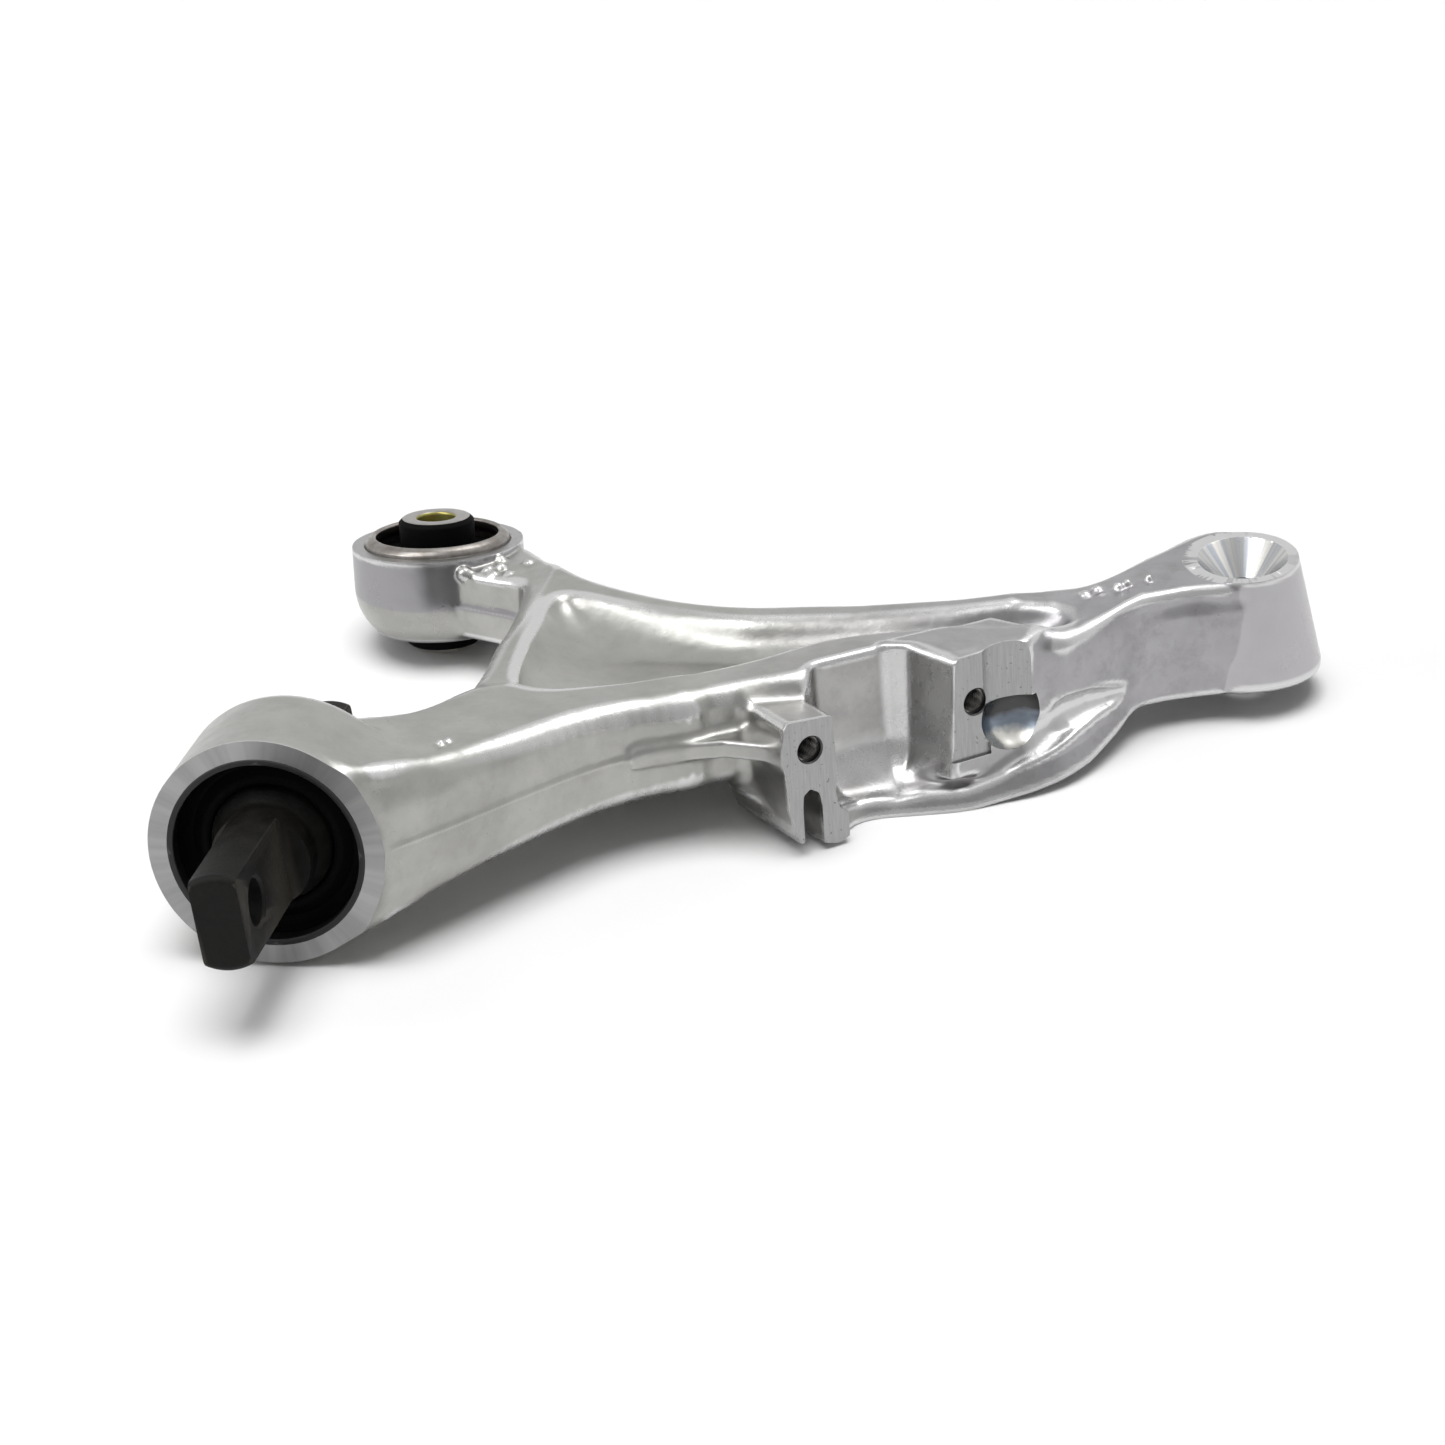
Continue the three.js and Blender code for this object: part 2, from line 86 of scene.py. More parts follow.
VERT_TILT = math.radians(5.56)
VERT_EYE_R = 30.75
VERT_EYE_DROP = 25.0
VERT_TOP = 14.1
VERT_BOTTOM = -17.3
VERT_SLEEVE_R = 26.0
VERT_SLEEVE_WALL = 2.2
VERT_INNER_HALF = 23.35
VERT_INNER_R = 13.2
VERT_BULGE_R = 17.0
VERT_BOLT_R = 6.8

SEAT_AT = (287.7, -30.5, 20.0)
SEAT_TILT = math.radians(7)
SEAT_TOP_R = 18.6
SEAT_SLOPE = 0.19
SEAT_FLOOR = -22.0
SEAT_MOUTH_R = 15.3
SEAT_BORE_R = 5.7
SEAT_CONE_DEEP = 10.6
SEAT_NUT_R = 13.0
SEAT_NUT_FACE = -41.5

HOLE_AT = (155.5, -151.7)
HOLE_PITCH = 63.4
HOLE_R = 4.3
RELIEF_R = 15.0
SCOOP_R = 12.5
SCOOP_TOP = 6.0
BRACKET_TURN = math.atan2(0.6386, 0.7695)


# ---- distance-field helpers (millimetres, negative inside) ----
def smooth_loop(points, per_span=6):
    """Closed Catmull-Rom curve through the points."""
    p = np.array(points, float)
    before, after, beyond = np.roll(p, 1, 0), np.roll(p, -1, 0), np.roll(p, -2, 0)
    rows = []
    for t in np.arange(per_span) / per_span:
        rows.append(0.5 * (2 * p + (after - before) * t + (2 * before - 5 * p + 4 * after - beyond) * t * t
                           + (3 * p - before - 3 * after + beyond) * t ** 3))
    return np.stack(rows, 1).reshape(-1, 2)


def polygon(x, y, points):
    """Signed distance from (x, y) to a closed outline."""
    shape = np.broadcast(x, y).shape
    best = np.full(shape, 1e12, np.float32)
    inside = np.zeros(shape, bool)
    ring = np.array(points, np.float32)
    for (ax, ay), (bx, by) in zip(ring, np.roll(ring, -1, 0)):
        ex, ey = bx - ax, by - ay
        wx, wy = x - ax, y - ay
        t = np.clip((wx * ex + wy * ey) / (ex * ex + ey * ey), 0, 1)
        best = np.minimum(best, (wx - ex * t) ** 2 + (wy - ey * t) ** 2)
        crosses = (ay > y) != (by > y)
        if by != ay:
            inside ^= crosses & (x < ex * (y - ay) / ey + ax)
    d = np.sqrt(best)
    return np.where(inside, -d, d)


def join(a, b, r):
    """Union with a round fillet of radius r in the corner."""
    u, v = np.maximum(r - a, 0), np.maximum(r - b, 0)
    return np.maximum(r, np.minimum(a, b)) - np.sqrt(u * u + v * v)


def meet(a, b, r):
    """Intersection with the edge rounded to radius r."""
    u, v = np.maximum(r + a, 0), np.maximum(r + b, 0)
    return np.minimum(-r, np.maximum(a, b)) + np.sqrt(u * u + v * v)


def cut(a, b, r):
    return meet(a, -b, r)


def soften(field_2d, reach):
    """Gaussian blur of an (x, y) distance map, given in grid steps."""
    taps = np.exp(-(np.arange(-3 * reach, 3 * reach + 1) / reach) ** 2 / 2)
    taps /= taps.sum()
    flat = field_2d[:, :, 0]
    for axis in (0, 1):
        pad = [(3 * reach, 3 * reach) if a == axis else (0, 0) for a in (0, 1)]
        wide = np.pad(flat, pad, mode="edge")
        count = flat.shape[axis]
        flat = sum(w * np.take(wide, range(k, k + count), axis) for k, w in enumerate(taps))
    return flat[:, :, None].astype(np.float32)


def ramp(x, low, high):
    t = np.clip((x - low) / (high - low), 0, 1)
    return t * t * (3 - 2 * t)


def profile(x, points):
    xs, ys = zip(*points)
    return np.interp(x, xs, ys)


# ---- outlines of the forging seen from above ----
ARM = [
    (20, -233), (32, -233), (49, -215), (66, -193), (85, -170), (97, -160), (109, -153),
    (122, -147), (136, -139), (152, -131), (168, -119), (184, -111), (198, -114), (209, -107.5),
    (222, -97), (234, -86.5), (246, -74), (256, -62), (268, -56), (283, -51.5), (294, -46), (302, -30),
    (300, -15), (285, -9), (268, -14), (255, -26), (240, -40), (225, -48), (207, -53), (174, -56),
    (146, -58), (124, -60), (104, -57), (85, -49), (66, -37), (48, -20), (32, 0), (12, 12),
    (-6, -4), (2, -20), (12, -26), (25, -32), (35, -37), (39.5, -42), (41, -52), (41.5, -66), (42.5, -100),
    (43, -130), (40, -152), (30, -176), (18, -198), (12, -214),
]
POCKET = [
    (57, -52), (68, -57), (84, -64), (100, -71), (122, -76), (146, -74), (174, -71), (206, -67), (222, -65),
    (231, -67), (235, -73), (231, -80), (222, -86), (208, -88), (194, -87), (180, -86), (164, -90),
    (148, -101), (134, -114), (118, -125), (98, -135), (82, -142), (70, -146), (62, -143), (58, -134),
    (56, -118), (55, -96), (54.5, -78), (54, -62),
]
BAR_NECK = [
    (8, -233), (22, -236), (33, -233), (49, -215), (66, -193), (85, -170), (100, -158), (118, -148),
    (112, -128), (92, -134), (70, -139), (53, -142), (42, -150), (34, -163), (26, -174), (16, -186),
    (2, -196),
]
SEAT_NECK = [
    (232, -90), (243, -77), (256, -62), (270, -54), (283, -51), (293, -46), (299, -36), (300, -26),
    (294, -15), (277, -10), (257, -25), (239, -41), (228, -49), (220, -56), (216, -66), (218, -80),
    (224, -88),
]
SHELF = [
    (-4, -14), (4, -6), (14, -5), (22, -8), (30, -7), (42, -1), (54, 4.5), (68, 8), (80, 10.6), (92, 10.8),
    (104, 8), (114, 4), (124, -0.5), (132, -7), (133, -14), (124, -20), (104, -26), (80, -34), (56, -38),
    (34, -40), (12, -42), (-8, -40), (-12, -26),
]


class Field:
    """The forging's distance field on a regular grid; each feature is worked out in its own window."""

    def __init__(self, low, high, step):
        self.low = np.array(low, float)
        self.step = step
        self.axes = [np.arange(a, b + step, step, dtype=np.float32) for a, b in zip(low, high)]
        self.d = np.full([len(a) for a in self.axes], 50.0, np.float32)

    def window(self, low, high):
        part = []
        for axis, a, b in zip(self.axes, low, high):
            part.append(slice(int(np.searchsorted(axis, a)), int(np.searchsorted(axis, b, "right"))))
        x = self.axes[0][part[0]][:, None, None]
        y = self.axes[1][part[1]][None, :, None]
        z = self.axes[2][part[2]][None, None, :]
        return tuple(part), x, y, z

    def everywhere(self):
        return self.window(self.low, [a[-1] for a in self.axes])


def bracket_axes(x, y):
    """(u, n) of the damper bracket: u along its two holes, n out of its milled faces."""
    c, s = math.cos(BRACKET_TURN), math.sin(BRACKET_TURN)
    dx, dy = x - HOLE_AT[0], y - HOLE_AT[1]
    return dx * c + dy * s, dx * s - dy * c


def tilted_axes(x, y, z, tilt):
    """(radius, height) about an axis through the origin that leans about X."""
    c, s = math.cos(tilt), math.sin(tilt)
    across, height = y * c - z * s, y * s + z * c
    return np.sqrt(x * x + across * across), height


def vertical_axes(x, y, z):
    return tilted_axes(x, y, z, VERT_TILT)


def seat_axes(x, y, z):
    return tilted_axes(x - SEAT_AT[0], y - SEAT_AT[1], z - SEAT_AT[2], -SEAT_TILT)


def drafted(outline, z, low, high, radius, plain=0.0):
    """Slab with sides that lean in from the parting plane and rounded top and bottom edges.

    `plain` from 0 to 1 fades out the lean and the ridge of the flash."""
    flash = 0.55 * np.exp(-(z / 1.3) ** 2) * (1 - plain)
    lean = DRAFT * (1 - 0.85 * plain)
    side = outline * np.cos(lean) + np.abs(z) * np.sin(lean) - 0.6 - flash
    caps = np.maximum(z - high, low - z)
    return meet(side, caps, radius)


def add_rails(field):
    part, x, y, z = field.everywhere()
    outline = polygon(x, y, smooth_loop(ARM))
    rear = REAR_RAIL_HALF + profile(x, [(30, 0), (43, 1.4), (50, 3.4), (62, 2.7), (116, 2.0), (160, 1.5),
                                        (192, 2.8), (212, 4.2), (226, 3.0), (236, 0.5)])
    half = rear + (FRONT_RAIL_HALF - rear) * ramp(-y, 78, 104)
    corner = RAIL_ROUND - 3.8 * ramp(-x, -60, -30) * ramp(y, -60, -40)
    field.d[part] = drafted(outline, z, -half, half, corner, ramp(x, 190, 222))


def add_bar_neck(field):
    part, x, y, z = field.window((-45, -242, -40), (135, -110, 40))
    outline = polygon(x, y, smooth_loop(BAR_NECK))
    along = x * math.cos(math.radians(38)) + (y - BAR_Y) * math.sin(math.radians(38))
    half = profile(along, [(-30, 33), (10, 28.5), (24, 25.5), (41, 22), (53, 20.5), (67, 19), (96, 17),
                           (124, 14)])
    half = half + 2.2 * np.exp(-((x - 18) ** 2 + (y + 186) ** 2) / 200)
    neck = drafted(outline, z, -half, half, 5)
    field.d[part] = join(field.d[part], neck, 6)
    radius = np.sqrt(x * x + z * z)
    barrel = meet(radius - BAR_EYE_R, np.abs(y - BAR_Y) - 20.5, 2.5)
    field.d[part] = join(field.d[part], barrel, 4)


def add_seat_neck(field):
    part, x, y, z = field.window((205, -100, -34), (318, 10, 34))
    outline = polygon(x, y, smooth_loop(SEAT_NECK))
    top = profile(x, [(210, 11), (225, 12.4), (240, 14.8), (255, 18.8), (268, 20.1), (310, 20.2)])
    top = top + (0.123 * (y - SEAT_AT[1]) - 0.1) * ramp(x, 246, 272)
    bottom = profile(x, [(210, -15), (240, -19), (256, -22.6), (270, -23), (290, -21.8)])
    neck = drafted(outline, z, bottom, top, 2.8, 0.9)
    field.d[part] = join(field.d[part], neck, 6 - 4.8 * ramp(x, 238, 262))
    radius, height = seat_axes(x, y, z)
    side = (radius - SEAT_TOP_R - SEAT_SLOPE * -height) * math.cos(math.atan(SEAT_SLOPE)) - 0.3
    boss = np.maximum(meet(side, SEAT_FLOOR - 0.2 - z, 3.5), height - 0.6)
    field.d[part] = join(field.d[part], boss, 0.4)


def add_vertical_eye(field):
    part, x, y, z = field.window((-40, -45, -30), (50, 40, 30))
    radius, height = vertical_axes(x, y, z)
    cylinder = radius - VERT_EYE_R
    below = np.minimum(height + 1, 0) / VERT_EYE_DROP
    ball = np.sqrt((radius / VERT_EYE_R) ** 2 + below ** 2) * VERT_EYE_R - VERT_EYE_R
    ends = np.maximum(height - VERT_TOP - 0.8, VERT_BOTTOM - 0.3 - height)
    eye = meet(np.maximum(cylinder, ball), ends, 0.8)
    field.d[part] = join(field.d[part], eye, 1.2)


def cut_pockets(field):
    part, x, y, z = field.window((40, -165, -40), (250, -40, 40))
    outline = soften(polygon(x, y, smooth_loop(POCKET)), int(round(4.5 / field.step)))
    gentle = 0.5 + 0.5 * ramp(x, 62, 120)
    hollow = outline * gentle - (np.abs(z) - FRONT_RAIL_HALF) * math.sin(DRAFT)
    for side in (1, -1):
        pocket = meet(hollow, WEB_HALF - side * z, POCKET_ROUND)
        field.d[part] = cut(field.d[part], pocket, 1.6 + 2.9 * ramp(x, 66, 110))


def valley(u, n, z):
    """Groove between the rail and the rim of the bracket's foot, along a path of (u, n, z, radius)."""
    path = [(64, 9.5, -20.5, 5.5), (72, 9.6, -18.4, 6.6), (80, 9.4, -15.8, 7.4), (88, 8.6, -13.3, 7.6),
            (98, 6.2, -11.0, 6.4), (108, 3.2, -11.0, 5.0), (117, 0.2, -12.2, 3.2), (124, -1.5, -12.6, 1.6)]
    d = np.float32(50)
    for a, b in zip(path, path[1:]):
        a, b = np.array(a), np.array(b)
        along = b[:3] - a[:3]
        t = ((u - a[0]) * along[0] + (n - a[1]) * along[1] + (z - a[2]) * along[2]) / (along @ along)
        t = np.clip(t, 0, 1)
        far = np.sqrt((u - a[0] - t * along[0]) ** 2 + (n - a[1] - t * along[1]) ** 2
                      + (z - a[2] - t * along[2]) ** 2)
        d = np.minimum(d, far - a[3] - t * (b[3] - a[3]))
    return d


def bowl(u, n, z):
    """Hollow between the two damper bosses."""
    outline = [(14.9, 60), (14.9, -14.5), (20, -20.5), (41.5, -19), (45.5, -15.5), (51, 2), (70, 60)]
    wall = polygon(u, n, outline) - 5
    return meet(wall * 0.99 - (z - 15) * 0.05, -29.5 - z, 17)


def add_bracket(field):
    part, x, y, z = field.window((85, -185, -40), (275, -45, 24))
    u, n = bracket_axes(x, y)
    d = field.d[part]
    rim = polygon(u, n, smooth_loop(SHELF))
    bottom = profile(u, [(-30, -15), (-8, -23), (2, -31.5), (10, -35.8), (58, -35.8), (81, -33),
                         (103, -30), (116, -26.5), (130, -22), (142, -18)])
    rise = z - bottom
    lip = profile(u, [(-10, 8.5), (58, 7.6), (70, 8.5), (77, 10.3), (87, 13), (101, 13.6), (115, 11.4),
                      (130, 8)])
    flange = meet((rim + 0.4 * np.clip(rise, 0, 8)) * 0.93, np.maximum(-rise, rise - lip), 2.0)
    belly = meet(rim + 11, np.maximum(-rise, z + 10), 3)
    d = join(d, join(flange, belly, 6), 4)
    web = polygon(x, y, [(100, -162), (112, -156), (128, -152.5), (147, -156.5), (150, -130), (120, -130)])
    d = join(d, meet(web, np.abs(z) - 3.0, 1.2), 3.5)
    face = [(-8, 11), (8.9, 9.6), (9.9, -9.6), (8.8, -17.3), (10, -22.5), (13.5, -25.4), (13.3, -33.6),
            (9.3, -35), (-5.2, -31.5), (-8.6, -19.1), (-9.7, -6), (-10.2, 1), (-9.4, 9)]
    block = meet(polygon(u, z, face), np.maximum(n - 1.0, -40 - n), 1.2)
    d = join(d, block, 4)
    wedge = polygon(u, n, [(53, 1.2), (84, 1.2), (94, -6), (87, -25), (44, -26)])
    outboard = meet(wedge, np.maximum(z - 16.5, -25 - z), 1.2)
    d = join(d, outboard, 4)
    d = cut(d, bowl(u, n, z), 2.2)
    d = cut(d, valley(u, n, z), 0.9)
    arch = polygon(u, z, [(3.9, -50), (3.5, -20), (2.6, -15.5), (-0.6, -13.4), (-3.2, -15.2), (-3.6, -20),
                          (-3.4, -50)])
    d = cut(d, np.maximum(arch, -22 - n), 0.8)
    field.d[part] = d


def add_flash_marks(field):
    """Small blobs left where the flash was trimmed."""
    marks = [(16, -27, 12.2, 2.6), (19, -19, 13.2, 1.8), (24.5, -26, 12.8, 2.2), (27, -29, 12.6, 1.5),
             (29, -24.5, 13.4, 2.0), (27, -16, 13.4, 1.7), (33, -30, 13.0, 1.6), (38, -21, 13.6, 2.0),
             (48.2, -199.5, 21.6, 1.4), (50.0, -196.5, 21.2, 1.2), (236, -56, 15.0, 2.6),
             (240, -52, 15.8, 2.2), (242, -57, 15.2, 1.6), (247, -53, 17.6, 1.8), (250, -51, 18.4, 1.4),
             (257, -48, 19.2, 1.2)]
    for *at, size in marks:
        reach = size + 5
        part, x, y, z = field.window(np.subtract(at, reach), np.add(at, reach))
        blob = np.sqrt((x - at[0]) ** 2 + (y - at[1]) ** 2 + (z - at[2]) ** 2) - size
        field.d[part] = join(field.d[part], blob, 1.6)


def forging_field():
    field = Field((-41, -241, -40.5), (318, 35, 40.5), GRID)
    add_rails(field)
    add_bar_neck(field)
    add_seat_neck(field)
    add_vertical_eye(field)
    cut_pockets(field)
    add_bracket(field)
    add_flash_marks(field)
    return field


# ---- field to mesh ----
def sample(volume, at):
    """Trilinear value of a grid at fractional grid positions."""
    base = np.clip(np.floor(at).astype(int), 0, np.array(volume.shape) - 2)
    t = at - base
    total = 0
    for corner in range(8):
        bits = [(corner >> k) & 1 for k in range(3)]
        weight = np.prod([t[:, k] if bits[k] else 1 - t[:, k] for k in range(3)], axis=0)
        total = total + weight * volume[base[:, 0] + bits[0], base[:, 1] + bits[1], base[:, 2] + bits[2]]
    return total


def surface_net(field):
    """Vertices (grid units) and quads of the zero surface."""
    d = field.d
    inside = d < 0
    cells = tuple(n - 1 for n in d.shape)
    count = np.zeros(cells, np.int8)
    for corner in range(8):
        i, j, k = [(corner >> b) & 1 for b in range(3)]
        count += inside[i:i + cells[0], j:j + cells[1], k:k + cells[2]]
    active = (count > 0) & (count < 8)
    where = np.argwhere(active)
    number = np.full(cells, -1, np.int32)
    number[active] = np.arange(len(where))
    total = np.zeros((len(where), 3))
    hits = np.zeros(len(where))
    for axis in range(3):
        others = [a for a in range(3) if a != axis]
        for p in (0, 1):
            for q in (0, 1):
                start = np.zeros(3, int)
                start[others[0]], start[others[1]] = p, q
                end = start.copy()
                end[axis] = 1
                a = d[tuple((where + start).T)]
                b = d[tuple((where + end).T)]
                crossing = (a < 0) != (b < 0)
                t = np.where(crossing, a / np.where(crossing, a - b, 1), 0)
                point = start + t[:, None] * (end - start)
                total += np.where(crossing[:, None], point, 0)
                hits += crossing
    vertices = where + total / hits[:, None]
    quads = []
    for axis in range(3):
        others = [a for a in range(3) if a != axis]
        if axis == 1:
            others = others[::-1]
        low = [slice(1, -1)] * 3
        low[axis] = slice(0, -1)
        high = list(low)
        high[axis] = slice(1, None)
        a, b = inside[tuple(low)], inside[tuple(high)]
        at = np.argwhere(a != b)
        leaving = a[tuple(at.T)]
        for other in others:
            at[:, other] += 1
        ring = []
        for p, q in ((0, 0), (-1, 0), (-1, -1), (0, -1)):
            cell = at.copy()
            cell[:, others[0]] += p
            cell[:, others[1]] += q
            ring.append(number[tuple(cell.T)])
        ring = np.stack(ring, 1)
        ring[~leaving] = ring[~leaving][:, ::-1]
        quads.append(ring)
    return vertices, np.concatenate(quads)


def settle(field, vertices, rounds=3):
    """Moves the net's vertices onto the zero surface along the field's gradient."""
    slopes = np.gradient(field.d)
    for _ in range(rounds):
        value = sample(field.d, vertices)
        slope = np.stack([sample(s, vertices) for s in slopes], 1)
        size = np.maximum((slope ** 2).sum(1), 1e-3)
        move = -(value / size)[:, None] * slope
        length = np.linalg.norm(move, axis=1, keepdims=True)
        vertices = vertices + move * np.minimum(1, 0.5 / np.maximum(length, 1e-6))
    return vertices


def lathe(profile, segments=96):
    """Points and faces of a (radius, height) profile turned about Z.

    A profile that starts off the axis closes on itself."""
    points, rings, faces = [], [], []
    turn = np.arange(segments) * 2 * math.pi / segments
    for radius, height in profile:
        if radius < 1e-9:
            rings.append([len(points)] * segments)
            points.append((0, 0, height))
        else:
            rings.append(list(range(len(points), len(points) + segments)))
            points += [(radius * math.cos(a), radius * math.sin(a), height) for a in turn]
    closes = profile[0][0] > 1e-9
    pairs = list(zip(rings, rings[1:])) + ([(rings[-1], rings[0])] if closes else [])
    for low, high in pairs:
        for i in range(segments):
            j = (i + 1) % segments
            corners = [low[i], low[j], high[j], high[i]]
            face = [c for k, c in enumerate(corners) if c != corners[k - 1]]
            if len(face) > 2:
                faces.append(face)
    return points, faces


def eased(profile, radius, closed=True, steps=3):
    """Profile with its corners turned into small arcs."""
    out = []
    count = len(profile)
    for i, here in enumerate(profile):
        if not closed and i in (0, count - 1):
            out.append(tuple(here))
            continue
        a, b, c = np.array(profile[i - 1]), np.array(here), np.array(profile[(i + 1) % count])
        reach_a, reach_c = np.linalg.norm(a - b), np.linalg.norm(c - b)
        inset = min(radius, reach_a * 0.45, reach_c * 0.45)
        start, end = b + (a - b) / reach_a * inset, b + (c - b) / reach_c * inset
        for t in np.linspace(0, 1, steps + 1):
            p = (1 - t) ** 2 * start + 2 * t * (1 - t) * b + t * t * end
            out.append((float(p[0]), float(p[1])))
    return out


def prism(points, low, high):
    """Upright prism on an (x, y) outline."""
    count = len(points)
    corners = [(x, y, low) for x, y in points] + [(x, y, high) for x, y in points]
    faces = [list(range(count))[::-1], list(range(count, 2 * count))]
    faces += [[i, (i + 1) % count, count + (i + 1) % count, count + i] for i in range(count)]
    return corners, faces


def box(left, right, low, high):
    return [(left, low), (right, low), (right, high), (left, high)]


def drum(radius, low, high):
    """Profile of a plain cylinder."""
    return [(0, low), (radius, low), (radius, high), (0, high)]


def put(name, data):
    """New object in the scene."""
    thing = bpy.data.objects.new(name, data)
    bpy.context.scene.collection.objects.link(thing)
    return thing


def make(name, points, faces, *looks, matrix=None):
    """Mesh object with its normals facing out."""
    mesh = bpy.data.meshes.new(name)
    mesh.from_pydata([tuple(p) for p in points], [], [list(f) for f in faces])
    for look in looks:
        mesh.materials.append(look)
    if matrix is not None:
        mesh.transform(matrix)
    work = bmesh.new()
    work.from_mesh(mesh)
    bmesh.ops.recalc_face_normals(work, faces=work.faces)
    work.to_mesh(mesh)
    work.free()
    return put(name, mesh)


def apply_modifiers(piece):
    depsgraph = bpy.context.evaluated_depsgraph_get()
    finished = bpy.data.meshes.new_from_object(piece.evaluated_get(depsgraph))
    piece.modifiers.clear()
    old = piece.data
    piece.data = finished
    finished.name = old.name
    bpy.data.meshes.remove(old)


def carve(piece, cutter):
    step = piece.modifiers.new("cut", "BOOLEAN")
    step.solver = "MANIFOLD"
    step.object = cutter
    apply_modifiers(piece)
    cut_mesh = cutter.data
    bpy.data.objects.remove(cutter)
    bpy.data.meshes.remove(cut_mesh)


def read(items, key, kind=np.int32, width=1):
    """One property of all the items, as an array."""
    values = np.zeros(len(items) * width, kind)
    items.foreach_get(key, values)
    return values.reshape(-1, width) if width > 1 else values


def note(mesh, name, values):
    """Stores one value per point for the materials to read."""
    mesh.attributes.new(name, "FLOAT", "POINT").data.foreach_set("value", values.astype(np.float32))


def settle_in(piece, crisp=30):
    """Smooth shading with crisp edges, then from drawing millimetres into the frame."""
    piece.data.shade_smooth()
    piece.data.set_sharp_from_angle(angle=math.radians(crisp))
    piece.data.transform(INTO_FRAME)
    return piece


BAR_PLACE = Matrix.Translation((0, BAR_Y, 0)) @ FACING_FRONT
VERT_PLACE = Matrix.Rotation(-VERT_TILT, 4, "X")
SEAT_PLACE = Matrix.Translation(SEAT_AT) @ Matrix.Rotation(SEAT_TILT, 4, "X")
FACE_PLACE = (Matrix.Translation((HOLE_AT[0], HOLE_AT[1], 0)) @ Matrix.Rotation(BRACKET_TURN, 4, "Z")
              @ FACING_FRONT)


# ---- materials ----
class Tree:
    """Small helper to write a node tree."""

    def __init__(self, owner):
        owner.use_nodes = True
        self.tree = owner.node_tree

    def add(self, kind, **settings):
        node = self.tree.nodes.new(kind)
        for key, value in settings.items():
            setattr(node, key, value)
        return node

    def link(self, source, target):
        self.tree.links.new(source, target)

    def feed(self, socket, value):
        if hasattr(value, "is_linked"):
            self.link(value, socket)
        else:
            socket.default_value = value

    def remap(self, value, low, high, to_low, to_high, **settings):
        node = self.add("ShaderNodeMapRange", **settings)
        self.link(value, node.inputs["Value"])
        for key, number in zip(("From Min", "From Max", "To Min", "To Max"), (low, high, to_low, to_high)):
            node.inputs[key].default_value = number
        return node.outputs["Result"]

    def math(self, operation, a, b=0.0):
        node = self.add("ShaderNodeMath", operation=operation)
        self.feed(node.inputs[0], a)
        self.feed(node.inputs[1], b)
        return node.outputs[0]


class Nodes(Tree):
    """Node tree of a new material."""

    def __init__(self, name):
        self.look = bpy.data.materials.new(name)
        super().__init__(self.look)
        self.shader = self.tree.nodes["Principled BSDF"]
        self.place = self.add("ShaderNodeNewGeometry").outputs["Position"]

    def noise(self, size, detail=3, rough=0.5, stretch=(1, 1, 1), place=None):
        """Noise whose features are about `size` metres across."""
        mapping = self.add("ShaderNodeMapping")
        mapping.inputs["Scale"].default_value = stretch
        self.link(place or self.place, mapping.inputs["Vector"])
        node = self.add("ShaderNodeTexNoise")
        self.link(mapping.outputs["Vector"], node.inputs["Vector"])
        node.inputs["Scale"].default_value = 1 / size
        node.inputs["Detail"].default_value = detail
        node.inputs["Roughness"].default_value = rough
        return node.outputs["Fac"]

    def mix(self, share, a, b, kind="RGBA"):
        node = self.add("ShaderNodeMix", data_type=kind)
        for key, value in (("Factor", share), ("A", a), ("B", b)):
            self.feed(node.inputs[key], value)
        return node.outputs["Result"]

    def blend(self, share, a, b):
        """Number between a and b."""
        return self.mix(share, a, b, "FLOAT")

    def edges(self, low, high):
        """1 on worn convex edges, 0 elsewhere."""
        return self.remap(self.add("ShaderNodeNewGeometry").outputs["Pointiness"], low, high, 0, 1)

    def around(self, centre, axis):
        """Direction in which a lathe ran round the axis, for the brushed look."""
        arm = self.add("ShaderNodeVectorMath", operation="SUBTRACT")
        self.link(self.place, arm.inputs[0])
        arm.inputs[1].default_value = centre
        turn = self.add("ShaderNodeVectorMath", operation="CROSS_PRODUCT")
        turn.inputs[0].default_value = axis
        self.link(arm.outputs[0], turn.inputs[1])
        unit = self.add("ShaderNodeVectorMath", operation="NORMALIZE")
        self.link(turn.outputs[0], unit.inputs[0])
        return unit.outputs[0]

    def along(self, axis_number):
        """World position along X, Y or Z, in metres."""
        split = self.add("ShaderNodeSeparateXYZ")
        self.link(self.place, split.inputs[0])
        return split.outputs[axis_number]

    def attribute(self, name):
        return self.add("ShaderNodeAttribute", attribute_name=name).outputs["Fac"]

    def bumps(self, *heights):
        """Chain of (height, depth in metres) bumps."""
        normal = None
        for height, depth in heights:
            node = self.add("ShaderNodeBump")
            node.inputs["Distance"].default_value = depth
            self.link(height, node.inputs["Height"])
            if normal:
                self.link(normal, node.inputs["Normal"])
            normal = node.outputs["Normal"]
        return normal

    def finish(self, colour, metallic, roughness, normal=None, **more):
        self.feed(self.shader.inputs["Base Color"], colour)
        self.feed(self.shader.inputs["Metallic"], metallic)
        self.feed(self.shader.inputs["Roughness"], roughness)
        if normal:
            self.link(normal, self.shader.inputs["Normal"])
        for key, value in more.items():
            self.feed(self.shader.inputs[key], value)
        return self.look


def grey(level, warm=0.0):
    return (level * (1 + warm), level, level * (1 - warm), 1)


